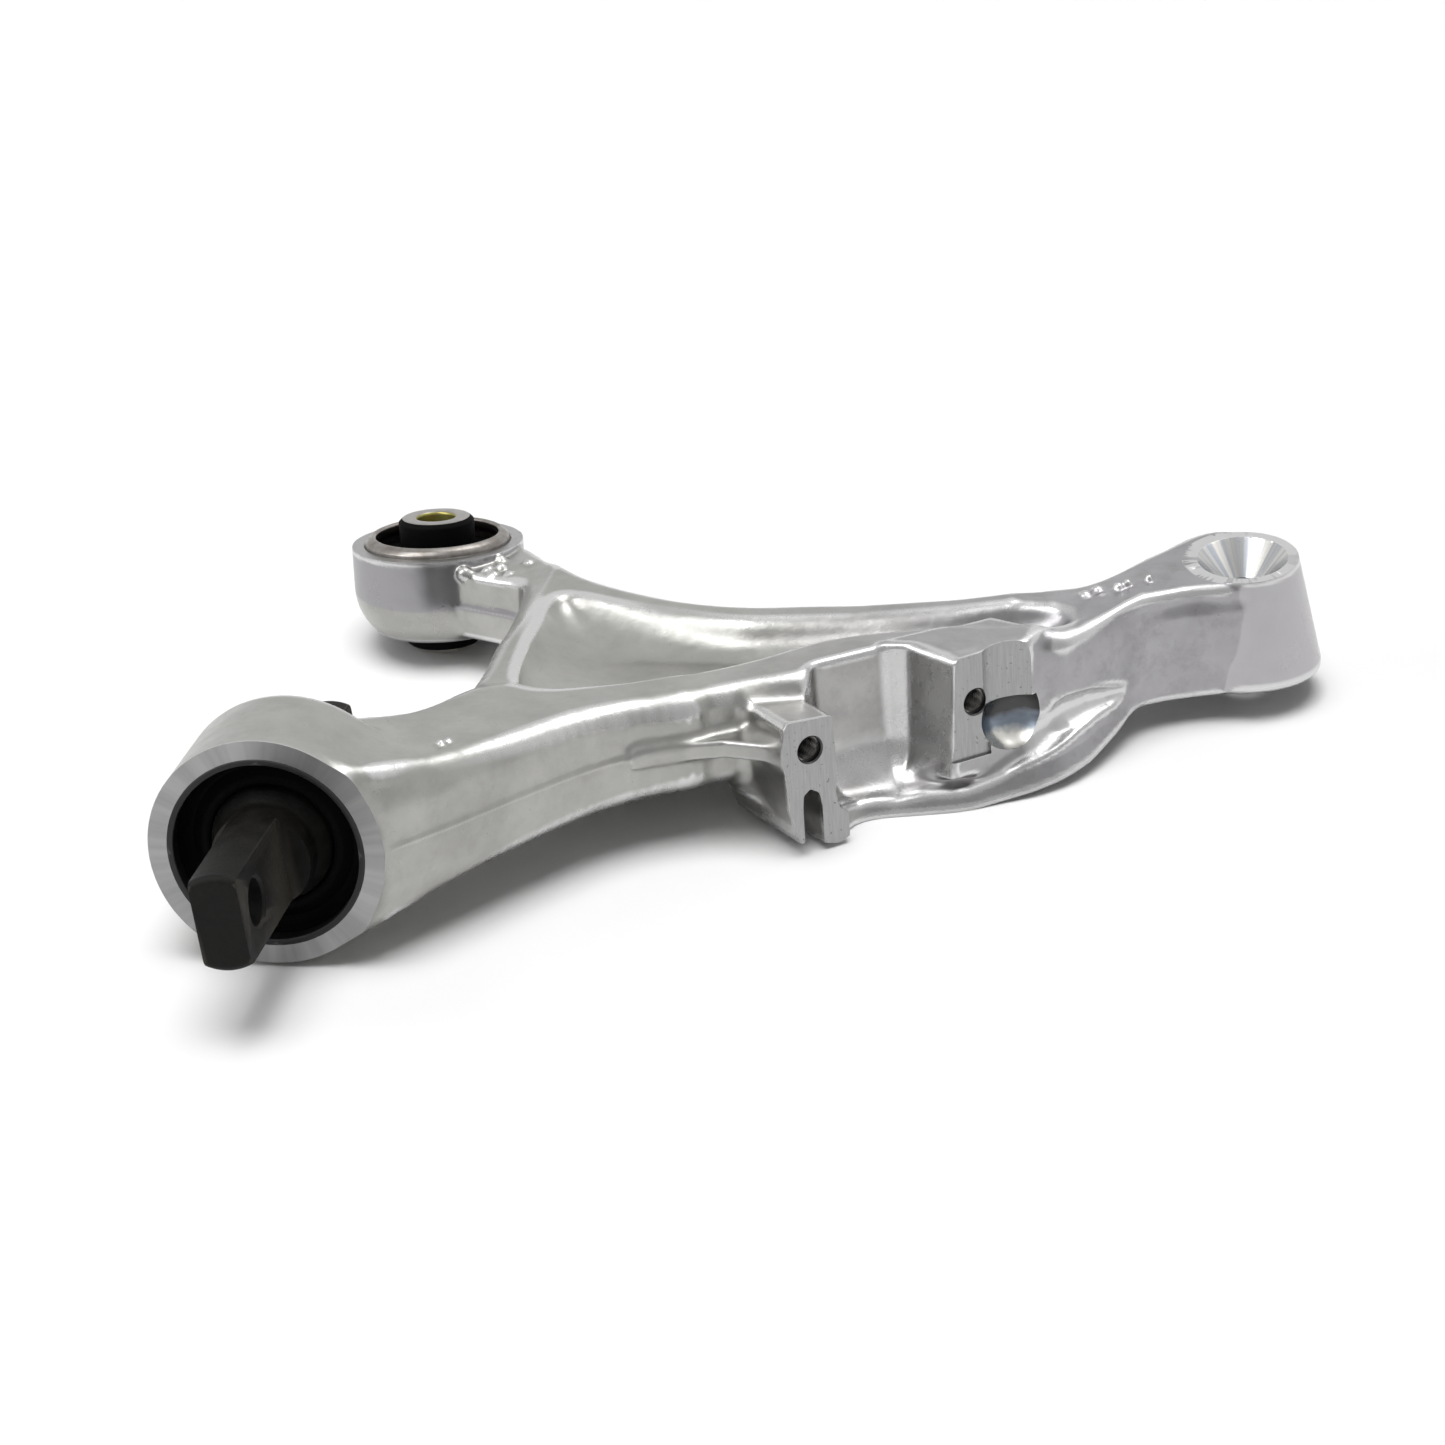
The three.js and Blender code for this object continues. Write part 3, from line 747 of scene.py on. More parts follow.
def forged_metal(name="forged_aluminium_satin", worn=1.0):
    """Satin forged and shot-blasted aluminium; smoother where a tool has turned it, with painted highlights
    where the shine marks are set and painted shade at the top of the vertical eye's turned band.
    """
    n = Nodes(name)
    patches = n.noise(0.022, 4, 0.6)
    mottle = n.noise(0.0042, 5, 0.65)
    grain = n.noise(0.0008, 2, 0.6)
    # worn scales both the turned finish and the painted highlight of the shine marks; the flat seat top uses
    # 0, so it has neither.
    turned = n.remap(n.attribute("turned"), 0.2, 0.45, worn, 0)
    outboard = n.remap(n.along(0), 0.12, 0.24, 0, 1)
    bare = n.mix(outboard, (0.36, 0.358, 0.340, 1), (0.33, 0.322, 0.336, 1))
    light = n.mix(outboard, (0.43, 0.428, 0.410, 1), (0.39, 0.381, 0.396, 1))
    colour = n.mix(n.remap(patches, 0.35, 0.65, 0, 1), bare, light)
    cloud = n.noise(0.009, 5, 0.72)
    stain = n.math("MULTIPLY", n.remap(cloud, 0.48, 0.70, 0, 0.55), n.remap(outboard, 0, 1, 0.5, 1.1))
    colour = n.mix(stain, colour, grey(0.26, 0.01))
    colour = n.mix(n.math("MULTIPLY", turned, outboard), colour, (0.45, 0.44, 0.452, 1))
    # Painted shade: the turned band of the vertical eye is coloured darker towards its top.
    painted_shade_top = n.math("MULTIPLY", turned, n.remap(n.along(2), -0.0016, -0.0006, 0, 1))
    painted_shade_top = n.math("MULTIPLY", painted_shade_top, n.remap(outboard, 0, 0.1, 1, 0))
    colour = n.mix(painted_shade_top, colour, (0.325, 0.318, 0.33, 1))
    # Painted highlight: where the shine marks are set (rail crests, the groove, the bowl) the colour is
    # lifted to light grey; on the crests it also stands for metal rubbed bright.
    shine = n.attribute("shine")
    colour = n.mix(n.math("MULTIPLY", shine, 0.8 * worn), colour, grey(0.72))
    colour = n.mix(n.edges(0.515, 0.56), colour, grey(0.62))
    rough = n.blend(n.math("MULTIPLY", shine, 0.6 * worn), n.remap(mottle, 0.3, 0.7, 0.27, 0.38), 0.2)
    rough = n.blend(turned, rough, n.remap(patches, 0.3, 0.7, 0.26, 0.32))
    ripple = n.noise(0.013, 2, 0.4)
    normal = n.bumps((ripple, 0.00045), (mottle, 0.00010), (grain, 0.00003))
    return n.finish(colour, 1.0, rough, normal)


def milled_metal():
    """Face-milled aluminium: fine straight cutter lines, a little darker."""
    n = Nodes("milled_aluminium")
    lines = n.noise(0.0006, 3, 0.7, (1, 1, 0.06))
    wide = n.noise(0.006, 3, 0.5)
    specks = n.noise(0.0011, 1, 0.4)
    colour = n.mix(n.remap(lines, 0.3, 0.7, 0, 1), grey(0.31), grey(0.38))
    colour = n.mix(n.remap(specks, 0.70, 0.76, 0, 0.8), colour, grey(0.14))
    rough = n.remap(wide, 0.3, 0.7, 0.27, 0.34)
    return n.finish(colour, 1.0, rough, n.bumps((lines, 0.00002), (wide, 0.00004)), Anisotropic=0.4)


def turned_metal(name="turned_aluminium", centre=None, axis=None, tints=None, stretch=0.75, shine=0.16):
    """Bright lathe-turned aluminium with a faint oily tint; the lines run round the given axis, and with an
    axis, reflection streaks round it are painted into the colour.
    """
    n = Nodes(name)
    film = n.noise(0.011, 2, 0.5)
    lines = n.noise(0.0004, 2, 0.6, (0.1, 0.1, 1))
    colour = n.mix(n.remap(film, 0.38, 0.62, 0, 1), (0.50, 0.54, 0.60, 1), (0.60, 0.585, 0.54, 1))
    rough = n.remap(film, 0.3, 0.7, shine, shine + 0.06)
    if axis:
        run = n.around(centre, axis)
        # Painted reflection: the colour changes in streaks by angle round the axis, as reflections streak on
        # a turned face.
        painted_reflection_streaks = n.remap(n.noise(0.3, 3, 0.7, place=run), 0.4, 0.6, 0, 1)
        colour = n.mix(painted_reflection_streaks, *tints)
        return n.finish(colour, 1.0, rough, n.bumps((lines, 0.000012)), Anisotropic=stretch, Tangent=run,
                        **{"Anisotropic Rotation": 0.25})
    return n.finish(colour, 1.0, rough, n.bumps((lines, 0.000012)), Anisotropic=stretch)


def scoop_metal():
    """Ball-milled hollow beside the damper boss, its light painted in: shade near black under its top edge, a
    bright reflection at the bottom.
    """
    n = Nodes("ball_milled_aluminium_painted_light")
    film = n.noise(0.006, 2, 0.5)
    deep = n.math("ADD", n.along(2), n.remap(film, 0.3, 0.7, -0.0012, 0.0012))
    # Painted shade: near black under the hollow's top edge, bluish grey below it.
    colour = n.mix(n.remap(deep, -0.0080, -0.0115, 0, 1), grey(0.075), (0.26, 0.30, 0.36, 1))
    # Painted reflection: pale towards the bottom of the hollow.
    colour = n.mix(n.remap(deep, -0.0130, -0.0155, 0, 1), colour, (0.80, 0.79, 0.74, 1))
    rough = n.remap(film, 0.3, 0.7, 0.26, 0.34)
    return n.finish(colour, 1.0, rough, n.bumps((film, 0.0001)))


def drilled_metal():
    """Wall of a drilled hole, painted dark for the shade inside it."""
    n = Nodes("drilled_hole_painted_shade")
    film = n.noise(0.002, 3, 0.5)
    # Painted shade: the hole wall is near black.
    colour = n.mix(film, grey(0.05), grey(0.12))
    return n.finish(colour, 1.0, n.remap(film, 0.3, 0.7, 0.3, 0.42), n.bumps((film, 0.00003)))


def coated_steel():
    """Black satin coating over forged steel, worn a little brown at its edges."""
    n = Nodes("coated_steel_black")
    grain = n.noise(0.0007, 3, 0.6)
    patches = n.noise(0.006, 4, 0.6)
    colour = n.mix(n.remap(patches, 0.35, 0.65, 0, 1), (0.0028, 0.0027, 0.0024, 1), (0.006, 0.0056, 0.005, 1))
    colour = n.mix(n.edges(0.53, 0.62), colour, (0.03, 0.027, 0.023, 1))
    rough = n.remap(patches, 0.3, 0.7, 0.46, 0.6)
    return n.finish(colour, 0.0, rough, n.bumps((patches, 0.0002), (grain, 0.00006)),
                    **{"Specular IOR Level": 0.16})


def black_rubber():
    n = Nodes("black_rubber_moulded")
    grain = n.noise(0.0006, 2, 0.6)
    bloom = n.noise(0.007, 4, 0.6)
    colour = n.mix(n.remap(bloom, 0.4, 0.7, 0, 1), grey(0.001), grey(0.0025, 0.02))
    rough = n.remap(bloom, 0.3, 0.7, 0.62, 0.8)
    return n.finish(colour, 0.0, rough, n.bumps((bloom, 0.00012), (grain, 0.00005)),
                    **{"Specular IOR Level": 0.07})


def black_steel():
    n = Nodes("black_steel_sleeve")
    grain = n.noise(0.0006, 2, 0.6)
    bloom = n.noise(0.005, 3, 0.5)
    colour = n.mix(n.edges(0.52, 0.6), grey(0.006), grey(0.05))
    rough = n.remap(bloom, 0.3, 0.7, 0.34, 0.46)
    return n.finish(colour, 0.0, rough, n.bumps((grain, 0.00004)), **{"Specular IOR Level": 0.35})


def bright_steel():
    """Turned steel ring with a warm brownish cast and fine lathe lines."""
    n = Nodes("turned_steel_ring")
    lines = n.noise(0.0005, 2, 0.6, (0.08, 0.08, 1))
    tarnish = n.noise(0.005, 4, 0.6)
    colour = n.mix(n.remap(tarnish, 0.35, 0.65, 0, 1), grey(0.30, 0.05), grey(0.19, 0.10))
    colour = n.mix(n.edges(0.52, 0.6), colour, grey(0.6, 0.02))
    rough = n.remap(tarnish, 0.3, 0.7, 0.26, 0.38)
    return n.finish(colour, 1.0, rough, n.bumps((lines, 0.00003)), Anisotropic=0.5)


def zinc_steel():
    """Inner sleeve: grey end faces, yellow zinc in the bore."""
    n = Nodes("zinc_plated_steel")
    film = n.noise(0.003, 3, 0.5)
    yellow = n.attribute("bore")
    face = n.mix(n.remap(film, 0.35, 0.65, 0, 1), grey(0.26, 0.03), grey(0.35, 0.04))
    bore = n.mix(n.remap(film, 0.35, 0.65, 0, 1), (0.36, 0.31, 0.10, 1), (0.27, 0.26, 0.09, 1))
    colour = n.mix(yellow, face, bore)
    rough = n.remap(film, 0.3, 0.7, 0.28, 0.42)
    return n.finish(colour, 0.9, rough, n.bumps((film, 0.00005)))


def insert_steel():
    n = Nodes("insert_steel_thread")
    film = n.noise(0.002, 3, 0.5)
    # Painted shade: the steel insert is coloured near black to show the shade deep in the hole.
    colour = n.mix(n.remap(film, 0.35, 0.65, 0, 1), grey(0.06, 0.03), grey(0.13, 0.06))
    colour = n.mix(n.edges(0.52, 0.6), colour, grey(0.3, 0.03))
    return n.finish(colour, 1.0, n.remap(film, 0.3, 0.7, 0.25, 0.4), n.bumps((film, 0.00003)))


FORGED = forged_metal()
MILLED = milled_metal()
TURNED = turned_metal()
SEAT_FINISH = turned_metal("turned_seat_cone", DRAWN_AT + Vector(SEAT_AT) * MM,
                           (0, -math.sin(SEAT_TILT), math.cos(SEAT_TILT)),
                           ((0.40, 0.42, 0.46, 1), (0.68, 0.67, 0.64, 1)), 0.85, 0.22)
EYE_FACE = turned_metal("turned_eye_face", DRAWN_AT + Vector((0, BAR_Y, 0)) * MM, (0, 1, 0),
                        ((0.29, 0.29, 0.29, 1), (0.36, 0.36, 0.36, 1)), 0.85, 0.34)
SCOOP = scoop_metal()
DRILLED = drilled_metal()
FLAT = forged_metal("forged_aluminium_flat", 0.0)
COATED = coated_steel()
RUBBER = black_rubber()
BLACK = black_steel()
BRIGHT = bright_steel()
ZINC = zinc_steel()
INSERT = insert_steel()


# ---- the forging ----
def bracket_place(u, n, z):
    c, s = math.cos(BRACKET_TURN), math.sin(BRACKET_TURN)
    return Matrix.Translation((HOLE_AT[0] + u * c + n * s, HOLE_AT[1] + u * s - n * c, z))


def cutters():
    """Every machined cut of the forging, as separate cutter objects in the order of cutting."""
    far = 60
    mouth = BAR_Y - BAR_FRONT_Y
    bar_bore = [(0, -50), (BAR_SLEEVE_R, -50), (BAR_SLEEVE_R, mouth - 0.5), (BAR_SLEEVE_R + 1.5, mouth + 1),
                (0, mouth + 1)]
    floor_z = VERT_BOTTOM + 3
    vertical_bore = [(0, floor_z), (VERT_SLEEVE_R, floor_z), (VERT_SLEEVE_R, VERT_TOP - 0.6),
                     (VERT_SLEEVE_R + 1.6, VERT_TOP + 1), (0, VERT_TOP + 1)]
    vertical_top = [(0, VERT_TOP), (VERT_EYE_R + 1.3, VERT_TOP), (VERT_EYE_R + 3, VERT_TOP + 8),
                    (0, VERT_TOP + 8)]
    seat_top = [(0, 0), (SEAT_TOP_R + 1.5, 0), (SEAT_TOP_R + 2, 8), (0, 8)]
    cone = [(0, -far), (SEAT_BORE_R - 0.5, -far), (SEAT_BORE_R, -SEAT_CONE_DEEP),
            (SEAT_BORE_R + 0.4, 0.4 - SEAT_CONE_DEEP), (SEAT_MOUTH_R - 0.5, -0.4), (SEAT_MOUTH_R, 0.0),
            (SEAT_MOUTH_R + 0.7, 1), (0, 1)]
    cup = [(SCOOP_R * math.sin(a), -SCOOP_R * math.cos(a)) for a in np.linspace(0.1, 2.36, 30)]
    cup = [(0, -SCOOP_R)] + [p for p in cup if p[1] < SCOOP_TOP]
    cup += [(math.sqrt(SCOOP_R ** 2 - SCOOP_TOP ** 2), SCOOP_TOP), (0, SCOOP_TOP)]
    hole = [(0, -24), (HOLE_R, -22), (HOLE_R, -0.5), (HOLE_R + 1.3, 0.8), (HOLE_R + 1.3, 4), (0, 4)]
    front, rear = [Matrix.Translation((0, y, 0)) @ FACING_FRONT for y in (BAR_FRONT_Y, BAR_REAR_Y)]
    cuts = [
        ("front_pass", prism(box(-far, far, -far, far), -1, 30), EYE_FACE, front),
        ("rear_pass", prism(box(-far, 6, -far, far), -30, 0), MILLED, rear),
        ("bar_bore", lathe(bar_bore, 180), TURNED, BAR_PLACE),
        ("vertical_bore", lathe(vertical_bore, 160), TURNED, VERT_PLACE),
        ("vertical_lip", lathe(drum(20, -40, 0), 128), TURNED, VERT_PLACE),
        ("vertical_top", lathe(vertical_top, 160), MILLED, VERT_PLACE),
        ("seat_top", lathe(seat_top, 160), FLAT, SEAT_PLACE),
        ("seat_cone", lathe(cone, 160), SEAT_FINISH, SEAT_PLACE),
        ("seat_spotface", lathe(drum(SEAT_NUT_R, -far, SEAT_NUT_FACE), 96), MILLED, SEAT_PLACE),
        ("seat_floor", prism(box(255, 330, -80, 30), -50, SEAT_FLOOR), MILLED, None),
        ("inboard_face", prism(box(-16, 18, -42, 16), 0, 8), MILLED, FACE_PLACE),
        ("outboard_face", prism(box(52, 68, -19, 30), 0, 8), MILLED, FACE_PLACE),
        ("relief", lathe(drum(RELIEF_R, -12, 40), 200), MILLED, bracket_place(73.7, 13.1, 0)),
        ("scoop", lathe(cup, 96), SCOOP, bracket_place(76, 6.5, -8)),
    ]
    for u in (0, HOLE_PITCH):
        cuts.append(("threaded_hole", lathe(hole, 64), DRILLED, FACE_PLACE @ Matrix.Translation((u, 0, 0))))
    for name, shape, look, place in cuts:
        yield make(name, *shape, look, matrix=place)


def arm_forging():
    field = forging_field()
    vertices, quads = surface_net(field)
    vertices = settle(field, vertices)
    looks = FORGED, MILLED, TURNED, SEAT_FINISH, EYE_FACE, SCOOP, DRILLED, FLAT
    arm = make("forged_arm", vertices * field.step + field.low, quads, *looks)
    for cutter in cutters():
        carve(arm, cutter)
    dress(arm, field)
    return arm


def dress(arm, field):
    """Normals from the field on the forged skin, and two values per point for its finish.

    "turned" is the distance to the turned surfaces; "shine" marks rail crests, the groove and the bowl, where
    highlight is painted into the colour (on the crests it also stands for rubbed metal)."""
    mesh = arm.data
    mesh.shade_smooth()
    mesh.set_sharp_from_angle(angle=math.radians(28))
    corners = read(mesh.corner_normals, "vector", np.float32, 3)
    at = read(mesh.vertices, "co", float, 3)
    slopes = np.gradient(field.d)
    grid = np.clip((at - field.low) / field.step, 0, np.array(field.d.shape) - 1.001)
    slope = np.stack([sample(s, grid) for s in slopes], 1)
    slope /= np.maximum(np.linalg.norm(slope, axis=1, keepdims=True), 1e-6)
    loop_vertex = read(mesh.loops, "vertex_index")
    look = read(mesh.polygons, "material_index")
    skin = np.repeat(look == 0, read(mesh.polygons, "loop_total"))
    corners[skin] = slope[loop_vertex[skin]]
    mesh.normals_split_custom_set([tuple(c) for c in corners])
    x, y, z = at.T
    radius, height = vertical_axes(x, y, z)
    eye = np.abs(np.where(height > -1, radius - VERT_EYE_R, 0))
    radius, height = seat_axes(x, y, z)
    boss = np.abs((radius - SEAT_TOP_R + SEAT_SLOPE * height) * math.cos(math.atan(SEAT_SLOPE)) - 0.3)
    boss = np.where(x > 262, boss, 9)
    eye = np.where((x < 40) & (y > -40), eye, 9)
    bend = sum(np.gradient(s, axis=k) for k, s in enumerate(slopes))
    for axis in (0, 1, 2):
        bend = (np.roll(bend, 1, axis) + bend + np.roll(bend, -1, axis)) / 3
    bend = sample(bend, grid) / field.step ** 2
    # crest, groove and basin mark where highlight is painted into the colour; the crests also stand for
    # rubbed metal.
    crest = ramp(bend, 0.085, 0.20) * (1 - ramp(bend, 0.35, 0.6)) * ramp(np.abs(z), 4, 7)
    u, n = bracket_axes(x, y)
    groove = ramp(-np.abs(valley(u, n, z)), -0.9, -0.3)
    basin = ramp(-np.abs(bowl(u, n, z)), -1.2, -0.5) * np.maximum(ramp(-z, 9, 20), ramp(u, 41, 44))
    note(mesh, "shine", np.maximum(np.maximum(crest, groove), 0.8 * basin))
    note(mesh, "turned", np.minimum(eye, boss))
    mesh.transform(INTO_FRAME)


# ---- bar pin bush ----
def bar_outer_sleeve():
    outer, inner, half = BAR_SLEEVE_R - 0.03, BAR_SLEEVE_R - BAR_SLEEVE_WALL, BAR_SLEEVE_HALF
    ring = [(inner, -half), (outer, -half), (outer, half), (inner, half)]
    sleeve = make("bar_bush_outer_sleeve_steel", *lathe(eased(ring, 0.6), 180), BLACK, matrix=BAR_PLACE)
    return settle_in(sleeve)


def bar_rubber():
    outer, inner = BAR_SLEEVE_R - BAR_SLEEVE_WALL - 0.3, PIN_HUB_R + 0.3
    shape = [(inner, -10.5), (inner + 2.5, -11), (outer - 3, -8), (outer - 1, -10), (outer, -14), (outer, 14),
             (outer - 1, 10), (outer - 3, 8), (inner + 2.5, 11), (inner, 10.5)]
    rubber = make("bar_bush_rubber_moulded", *lathe(eased(shape, 1.6), 160), RUBBER, matrix=BAR_PLACE)
    return settle_in(rubber)


def bar_pin():
    half = PIN_HALF
    body = [(0, -half), (PIN_R - 1.5, -half), (PIN_R, -half + 1.5), (PIN_R, -16), (PIN_HUB_R, -11),
            (PIN_HUB_R, 11), (PIN_R, 16), (PIN_R, half - 1.5), (PIN_R - 1.5, half), (0, half)]
    pin = make("forged_bar_pin", *lathe(eased(body, 1.2, closed=False), 128), COATED)
    bell, straight = CROSS_HOLE_R + 1, 6.4
    hole = [(0, -20), (bell, -20), (bell, -straight - 1), (CROSS_HOLE_R, -straight),
            (CROSS_HOLE_R, straight), (bell, straight + 1), (bell, 20), (0, 20)]
    for end in (-1, 1):
        low, high = sorted((end * (half - TONGUE), end * (half + 5)))
        for side in (-1, 1):
            left, right = sorted((side * TONGUE_HALF, side * 30))
            carve(pin, make("flat", *prism(box(left, right, -30, 30), low, high), COATED))
        place = Matrix.Translation((0, 0, end * (half - CROSS_HOLE_IN)))
        place = place @ Matrix.Rotation(math.pi / 2, 4, "Y")
        carve(pin, make("cross_hole", *lathe(hole, 64), COATED, matrix=place))
    work = bmesh.new()
    work.from_mesh(pin.data)
    bmesh.ops.dissolve_limit(work, angle_limit=math.radians(0.5), verts=work.verts, edges=work.edges)
    work.to_mesh(pin.data)
    work.free()
    edge = pin.modifiers.new("edge", "BEVEL")
    edge.width = 0.7
    edge.segments = 3
    edge.limit_method = "ANGLE"
    edge.angle_limit = math.radians(40)
    apply_modifiers(pin)
    pin.data.transform(BAR_PLACE @ Matrix.Rotation(PIN_ROLL, 4, "Z"))
    settle_in(pin, 35)
    pin.modifiers.new("even_shading", "WEIGHTED_NORMAL").keep_sharp = True
    apply_modifiers(pin)
    return pin


# ---- vertical bush ----
def vertical_outer_sleeve():
    outer, inner, bottom = VERT_SLEEVE_R - 0.03, VERT_SLEEVE_R - VERT_SLEEVE_WALL, VERT_BOTTOM + 3.2
    shape = [(inner, bottom), (outer, bottom), (outer, 15.1), (24.9, 16.5), (23.2, 17.6), (22, 17.0),
             (22, 14.6), (inner, 12.6)]
    ring = make("vertical_bush_turned_ring", *lathe(eased(shape, 0.5), 160), BRIGHT, matrix=VERT_PLACE)
    return settle_in(ring)


def vertical_rubber():
    outer, cup = VERT_SLEEVE_R - VERT_SLEEVE_WALL - 0.3, VERT_BULGE_R + 0.3
    seat = [(cup * math.cos(a), cup * math.sin(a)) for a in np.linspace(0.417, -0.417, 13)]
    shape = [(outer, -12), (outer, 10.5), (outer - 2.5, 8)] + seat + [(outer - 3, -8.5)]
    rubber = make("vertical_bush_rubber_moulded", *lathe(eased(shape, 0.8), 128), RUBBER, matrix=VERT_PLACE)
    return settle_in(rubber)


def vertical_inner_sleeve():
    half, bolt, wide, neck = VERT_INNER_HALF, VERT_BOLT_R, 13.6, VERT_INNER_R
    bulge = [(VERT_BULGE_R * math.cos(a), VERT_BULGE_R * math.sin(a)) for a in np.linspace(-0.7, 0.7, 15)]
    shape = [(bolt, -half + 0.7), (bolt + 0.7, -half), (12, -half), (wide, -half + 1.5), (neck, -11.5)]
    shape += bulge
    shape += [(neck, 11.5), (wide, half - 1.5), (12, half), (bolt + 0.7, half), (bolt, half - 0.7)]
    sleeve = make("vertical_bush_pivot_sleeve", *lathe(eased(shape, 0.5), 128), ZINC, RUBBER)
    mesh = sleeve.data
    mesh.update()
    at = read(mesh.vertices, "co", float, 3)
    note(mesh, "bore", np.hypot(at[:, 0], at[:, 1]) < VERT_BOLT_R + 0.5)
    for face in mesh.polygons:
        centre = face.center
        if math.hypot(centre.x, centre.y) > 12 and abs(centre.z) < half - 0.1:
            face.material_index = 1
    mesh.transform(VERT_PLACE)
    return settle_in(sleeve)


# ---- thread inserts ----
def thread_insert(name, u):
    """Wire thread insert: a tube with a real helical thread inside."""
    turns, around, up = 11, 48, 8
    pitch, depth, crest, outer, deepest = 1.25, 0.7, 3.4, 4.27, -15.9
    rows = turns * up + 1
    angles = np.arange(around) * 2 * math.pi / around
    points, faces = [], []
    for row in range(rows):
        for i, a in enumerate(angles):
            wave = abs(((row / up - i / around) % 1) * 2 - 1)
            radius = 4.0 if row in (0, rows - 1) else crest + depth * wave
            points.append((radius * math.cos(a), radius * math.sin(a), deepest + row * pitch / up))
    for z in (points[-1][2], deepest):
        points += [(outer * math.cos(a), outer * math.sin(a), z) for a in angles]
    count = rows + 2
    for row in range(count):
        a, b = row * around, (row + 1) % count * around
        faces += [[a + i, a + (i + 1) % around, b + (i + 1) % around, b + i] for i in range(around)]
    insert = make(name, points, faces, INSERT, matrix=FACE_PLACE @ Matrix.Translation((u, 0, 0)))
    return settle_in(insert, 40)


# ---- putting the pieces on their bodies ----
def stand_for(piece, body, node):
    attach(piece, body)
    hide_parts(node)


def bonded(piece, node, radius_of, low, high):
    """Rubber baked into the frame in place of the CAD part, which is hidden; a weight falling off with radius
    is worked out but not used.
    """
    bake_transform(piece)
    at = (read(piece.data.vertices, "co", float, 3) - np.array(DRAWN_AT)) / MM
    weight = 1 - ramp(radius_of(at), low, high)
    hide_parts(node)


def assemble():
    stand_for(arm_forging(), "arm", "arm_forging")
    stand_for(bar_outer_sleeve(), "arm", "bar_pin_bush_outer_sleeve")
    stand_for(bar_pin(), "bar_pin_body", "bar_pin")
    stand_for(vertical_outer_sleeve(), "arm", "vertical_bush_outer_sleeve")
    stand_for(vertical_inner_sleeve(), "vertical_sleeve_body", "vertical_bush_inner_sleeve")
    for name, node, u in (("inboard_wire_insert", "damper_thread_insert_inboard", 0),
                          ("outboard_wire_insert", "damper_thread_insert_outboard", HOLE_PITCH)):
        stand_for(thread_insert(name, u), "arm", node)
    bonded(bar_rubber(), "bar_pin_bush_rubber",
           lambda p: np.hypot(p[:, 0], p[:, 2]), 19.5, 28.5)
    bonded(vertical_rubber(), "vertical_bush_rubber",
           lambda p: vertical_axes(p[:, 0], p[:, 1], p[:, 2])[0], 17.5, 23.2)


# ---- studio ----
ROOM_BACK = 0.86
ROOM_FRONT = 0.48
ROOM_FILL = 0.2
PANEL_EDGE = 6
# azimuth from the front (-Y) towards +X, elevation, half-angle (degrees) and brightness of the lit panels
ROOM_PANELS = [(-48, 38, 16, 2.2), (-42, 63, 11, 4.5), (-4, 68, 12, 0.5), (128, 62, 12, 4.0),
               (128, 62, 24, 0.5)]


def floor():
    """Pale tabletop, leaning with the way the arm rests on it."""
    size = 4.0
    rows = 24
    grid = np.linspace(-size, size, rows + 1)
    points = [(x, y, (-24 - 0.019 * x / MM + 0.062 * y / MM) * MM) for y in grid for x in grid]
    points = [(x, y + DRAWN_AT.y, z) for x, y, z in points]
    corners = (0, 1, rows + 2, rows + 1)
    faces = [[r * (rows + 1) + c + k for k in corners] for r in range(rows) for c in range(rows)]
    n = Nodes("table_paint")
    haze = n.noise(0.3, 3, 0.5)
    look = n.finish(n.mix(haze, grey(0.86), grey(0.90)), 0.0, 0.9)
    mesh = bpy.data.meshes.new("tabletop")
    mesh.from_pydata(points, [], faces)
    mesh.materials.append(look)
    put("tabletop", mesh)


def lamp(name, kind, energy, at, toward):
    light = bpy.data.lights.new(name, kind)
    light.energy = energy
    holder = put(name, light)
    holder.location = at
    holder.rotation_euler = (Vector(toward) - Vector(at)).to_track_quat("-Z", "Y").to_euler()
    return holder


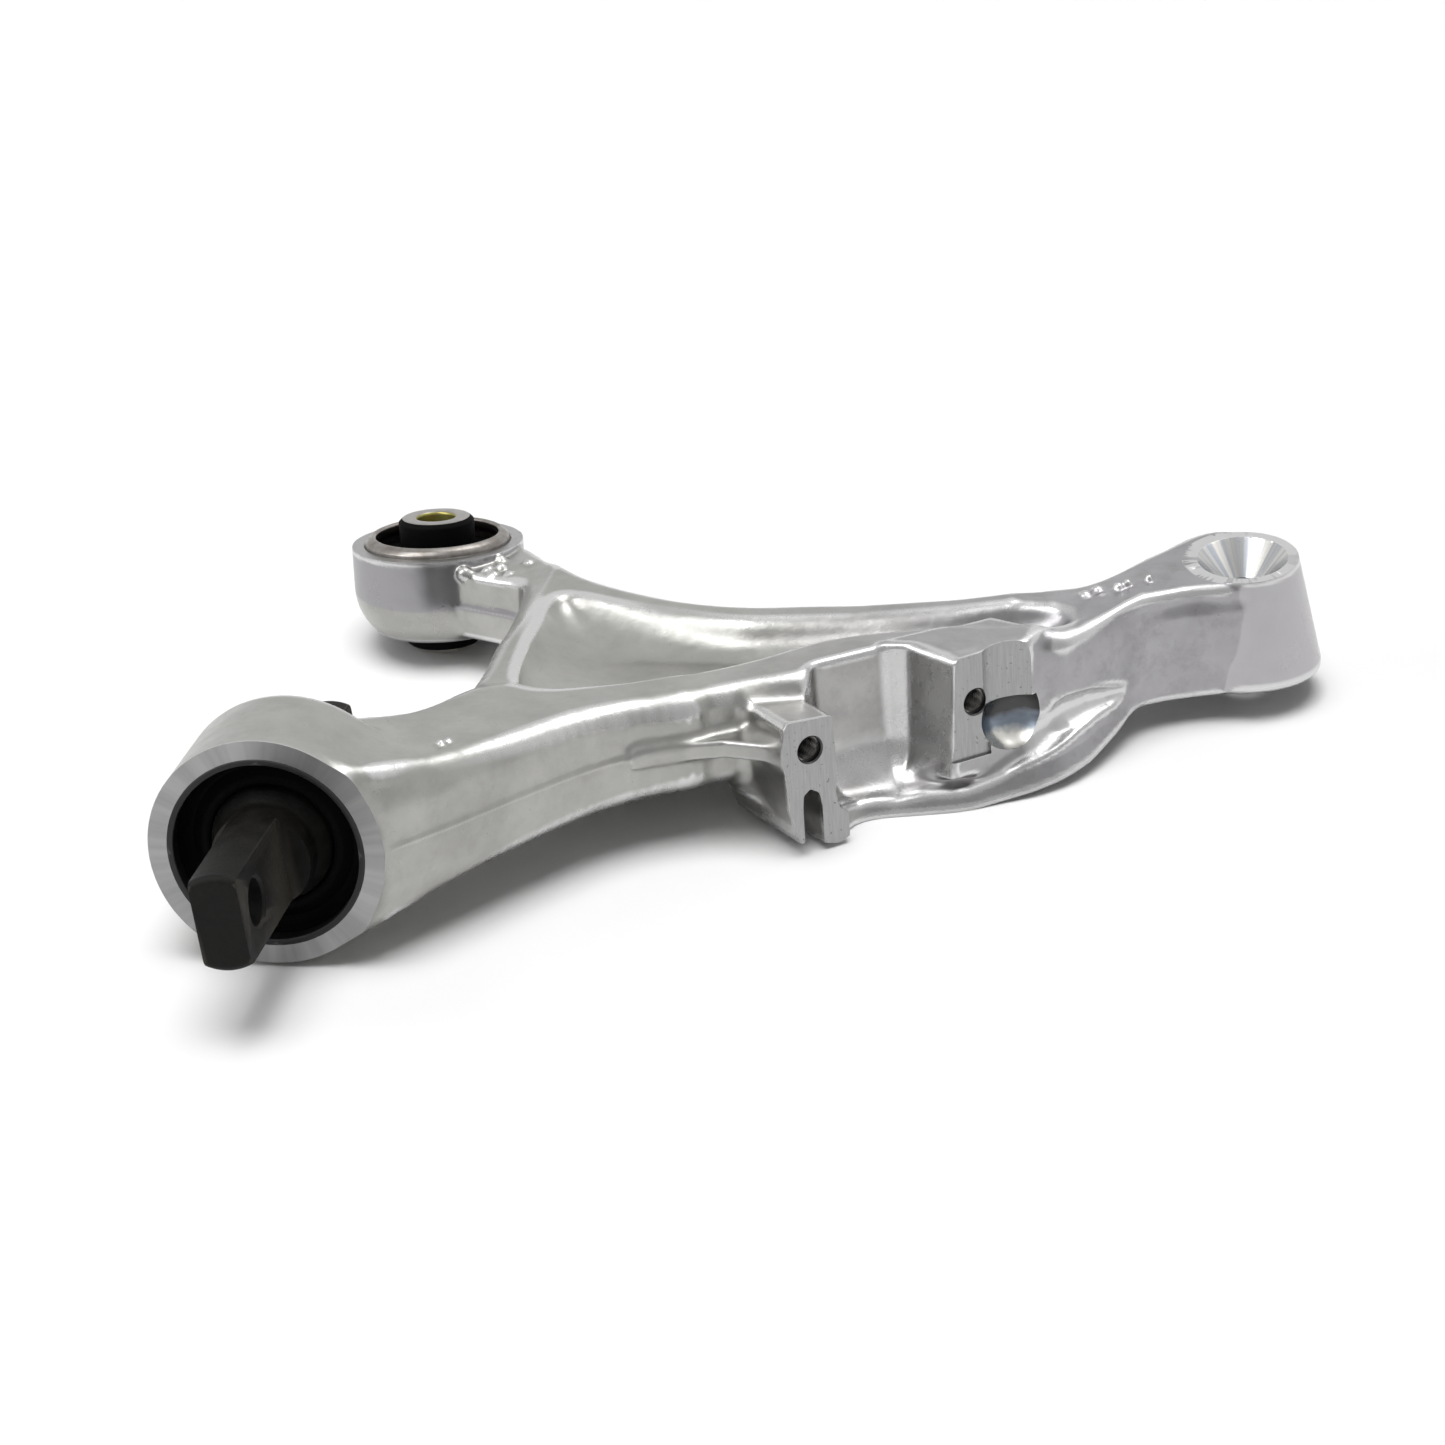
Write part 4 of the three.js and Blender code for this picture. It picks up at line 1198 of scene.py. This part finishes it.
def surroundings():
    """White seen by the camera, dim light for the shadows, and a room for the metal to reflect: bright
    at the back, darker at the front, with the lit panels."""
    world = bpy.data.worlds.new("studio")
    bpy.context.scene.world = world
    n = Tree(world)
    n.tree.nodes.clear()

    def sky(strength):
        node = n.add("ShaderNodeBackground")
        node.inputs["Color"].default_value = grey(1)
        n.feed(node.inputs["Strength"], strength)
        return node.outputs[0]

    def choose(share, first, second):
        node = n.add("ShaderNodeMixShader")
        for socket, source in zip(node.inputs, (share, first, second)):
            n.link(source, socket)
        return node.outputs[0]

    smooth = {"interpolation_type": "SMOOTHSTEP"}
    direction = n.add("ShaderNodeTexCoord").outputs["Generated"]
    split = n.add("ShaderNodeSeparateXYZ")
    n.link(direction, split.inputs[0])
    bright = n.remap(split.outputs["Y"], -0.75, 0.35, ROOM_FRONT, ROOM_BACK, **smooth)
    for azimuth, elevation, reach, strength in ROOM_PANELS:
        a, e = math.radians(azimuth), math.radians(elevation)
        dot = n.add("ShaderNodeVectorMath", operation="DOT_PRODUCT")
        n.link(direction, dot.inputs[0])
        dot.inputs[1].default_value = (math.sin(a) * math.cos(e), -math.cos(a) * math.cos(e), math.sin(e))
        near, far = math.cos(math.radians(reach - PANEL_EDGE)), math.cos(math.radians(reach + PANEL_EDGE))
        bright = n.math("ADD", bright, n.remap(dot.outputs["Value"], far, near, 0, strength, **smooth))
    path = n.add("ShaderNodeLightPath").outputs
    lit = choose(path["Is Diffuse Ray"], sky(bright), sky(ROOM_FILL))
    seen = choose(path["Is Camera Ray"], lit, sky(1.05))
    n.link(seen, n.add("ShaderNodeOutputWorld").inputs[0])


def studio():
    floor()
    surroundings()
    overhead = lamp("overhead", "SUN", 2.8, (0, 0, 0), (0, 0.18, -1))
    overhead.data.angle = math.radians(42)
    overhead.visible_glossy = False
    fill = lamp("left_fill", "AREA", 3, (-1.1, -0.3, 0.7), (0.14, 0.17, 0))
    fill.data.size = 0.6
    lens = bpy.data.cameras.new("photo_view")
    lens.lens = 92.18
    lens.sensor_width = 36
    camera = put("photo_view", lens)
    right, up = Vector((0.986, 0.1566, -0.0572)), Vector((-0.0085, 0.3897, 0.9209))
    back = right.cross(up).normalized()
    right.normalize()
    up = back.cross(right)
    turn = Matrix((right, up, back)).transposed().to_4x4()
    camera.matrix_world = Matrix.Translation((0.3231, -0.9311, 0.4612)) @ turn
    bpy.context.scene.camera = camera
    bpy.context.scene.view_settings.view_transform = "Standard"


assemble()
studio()
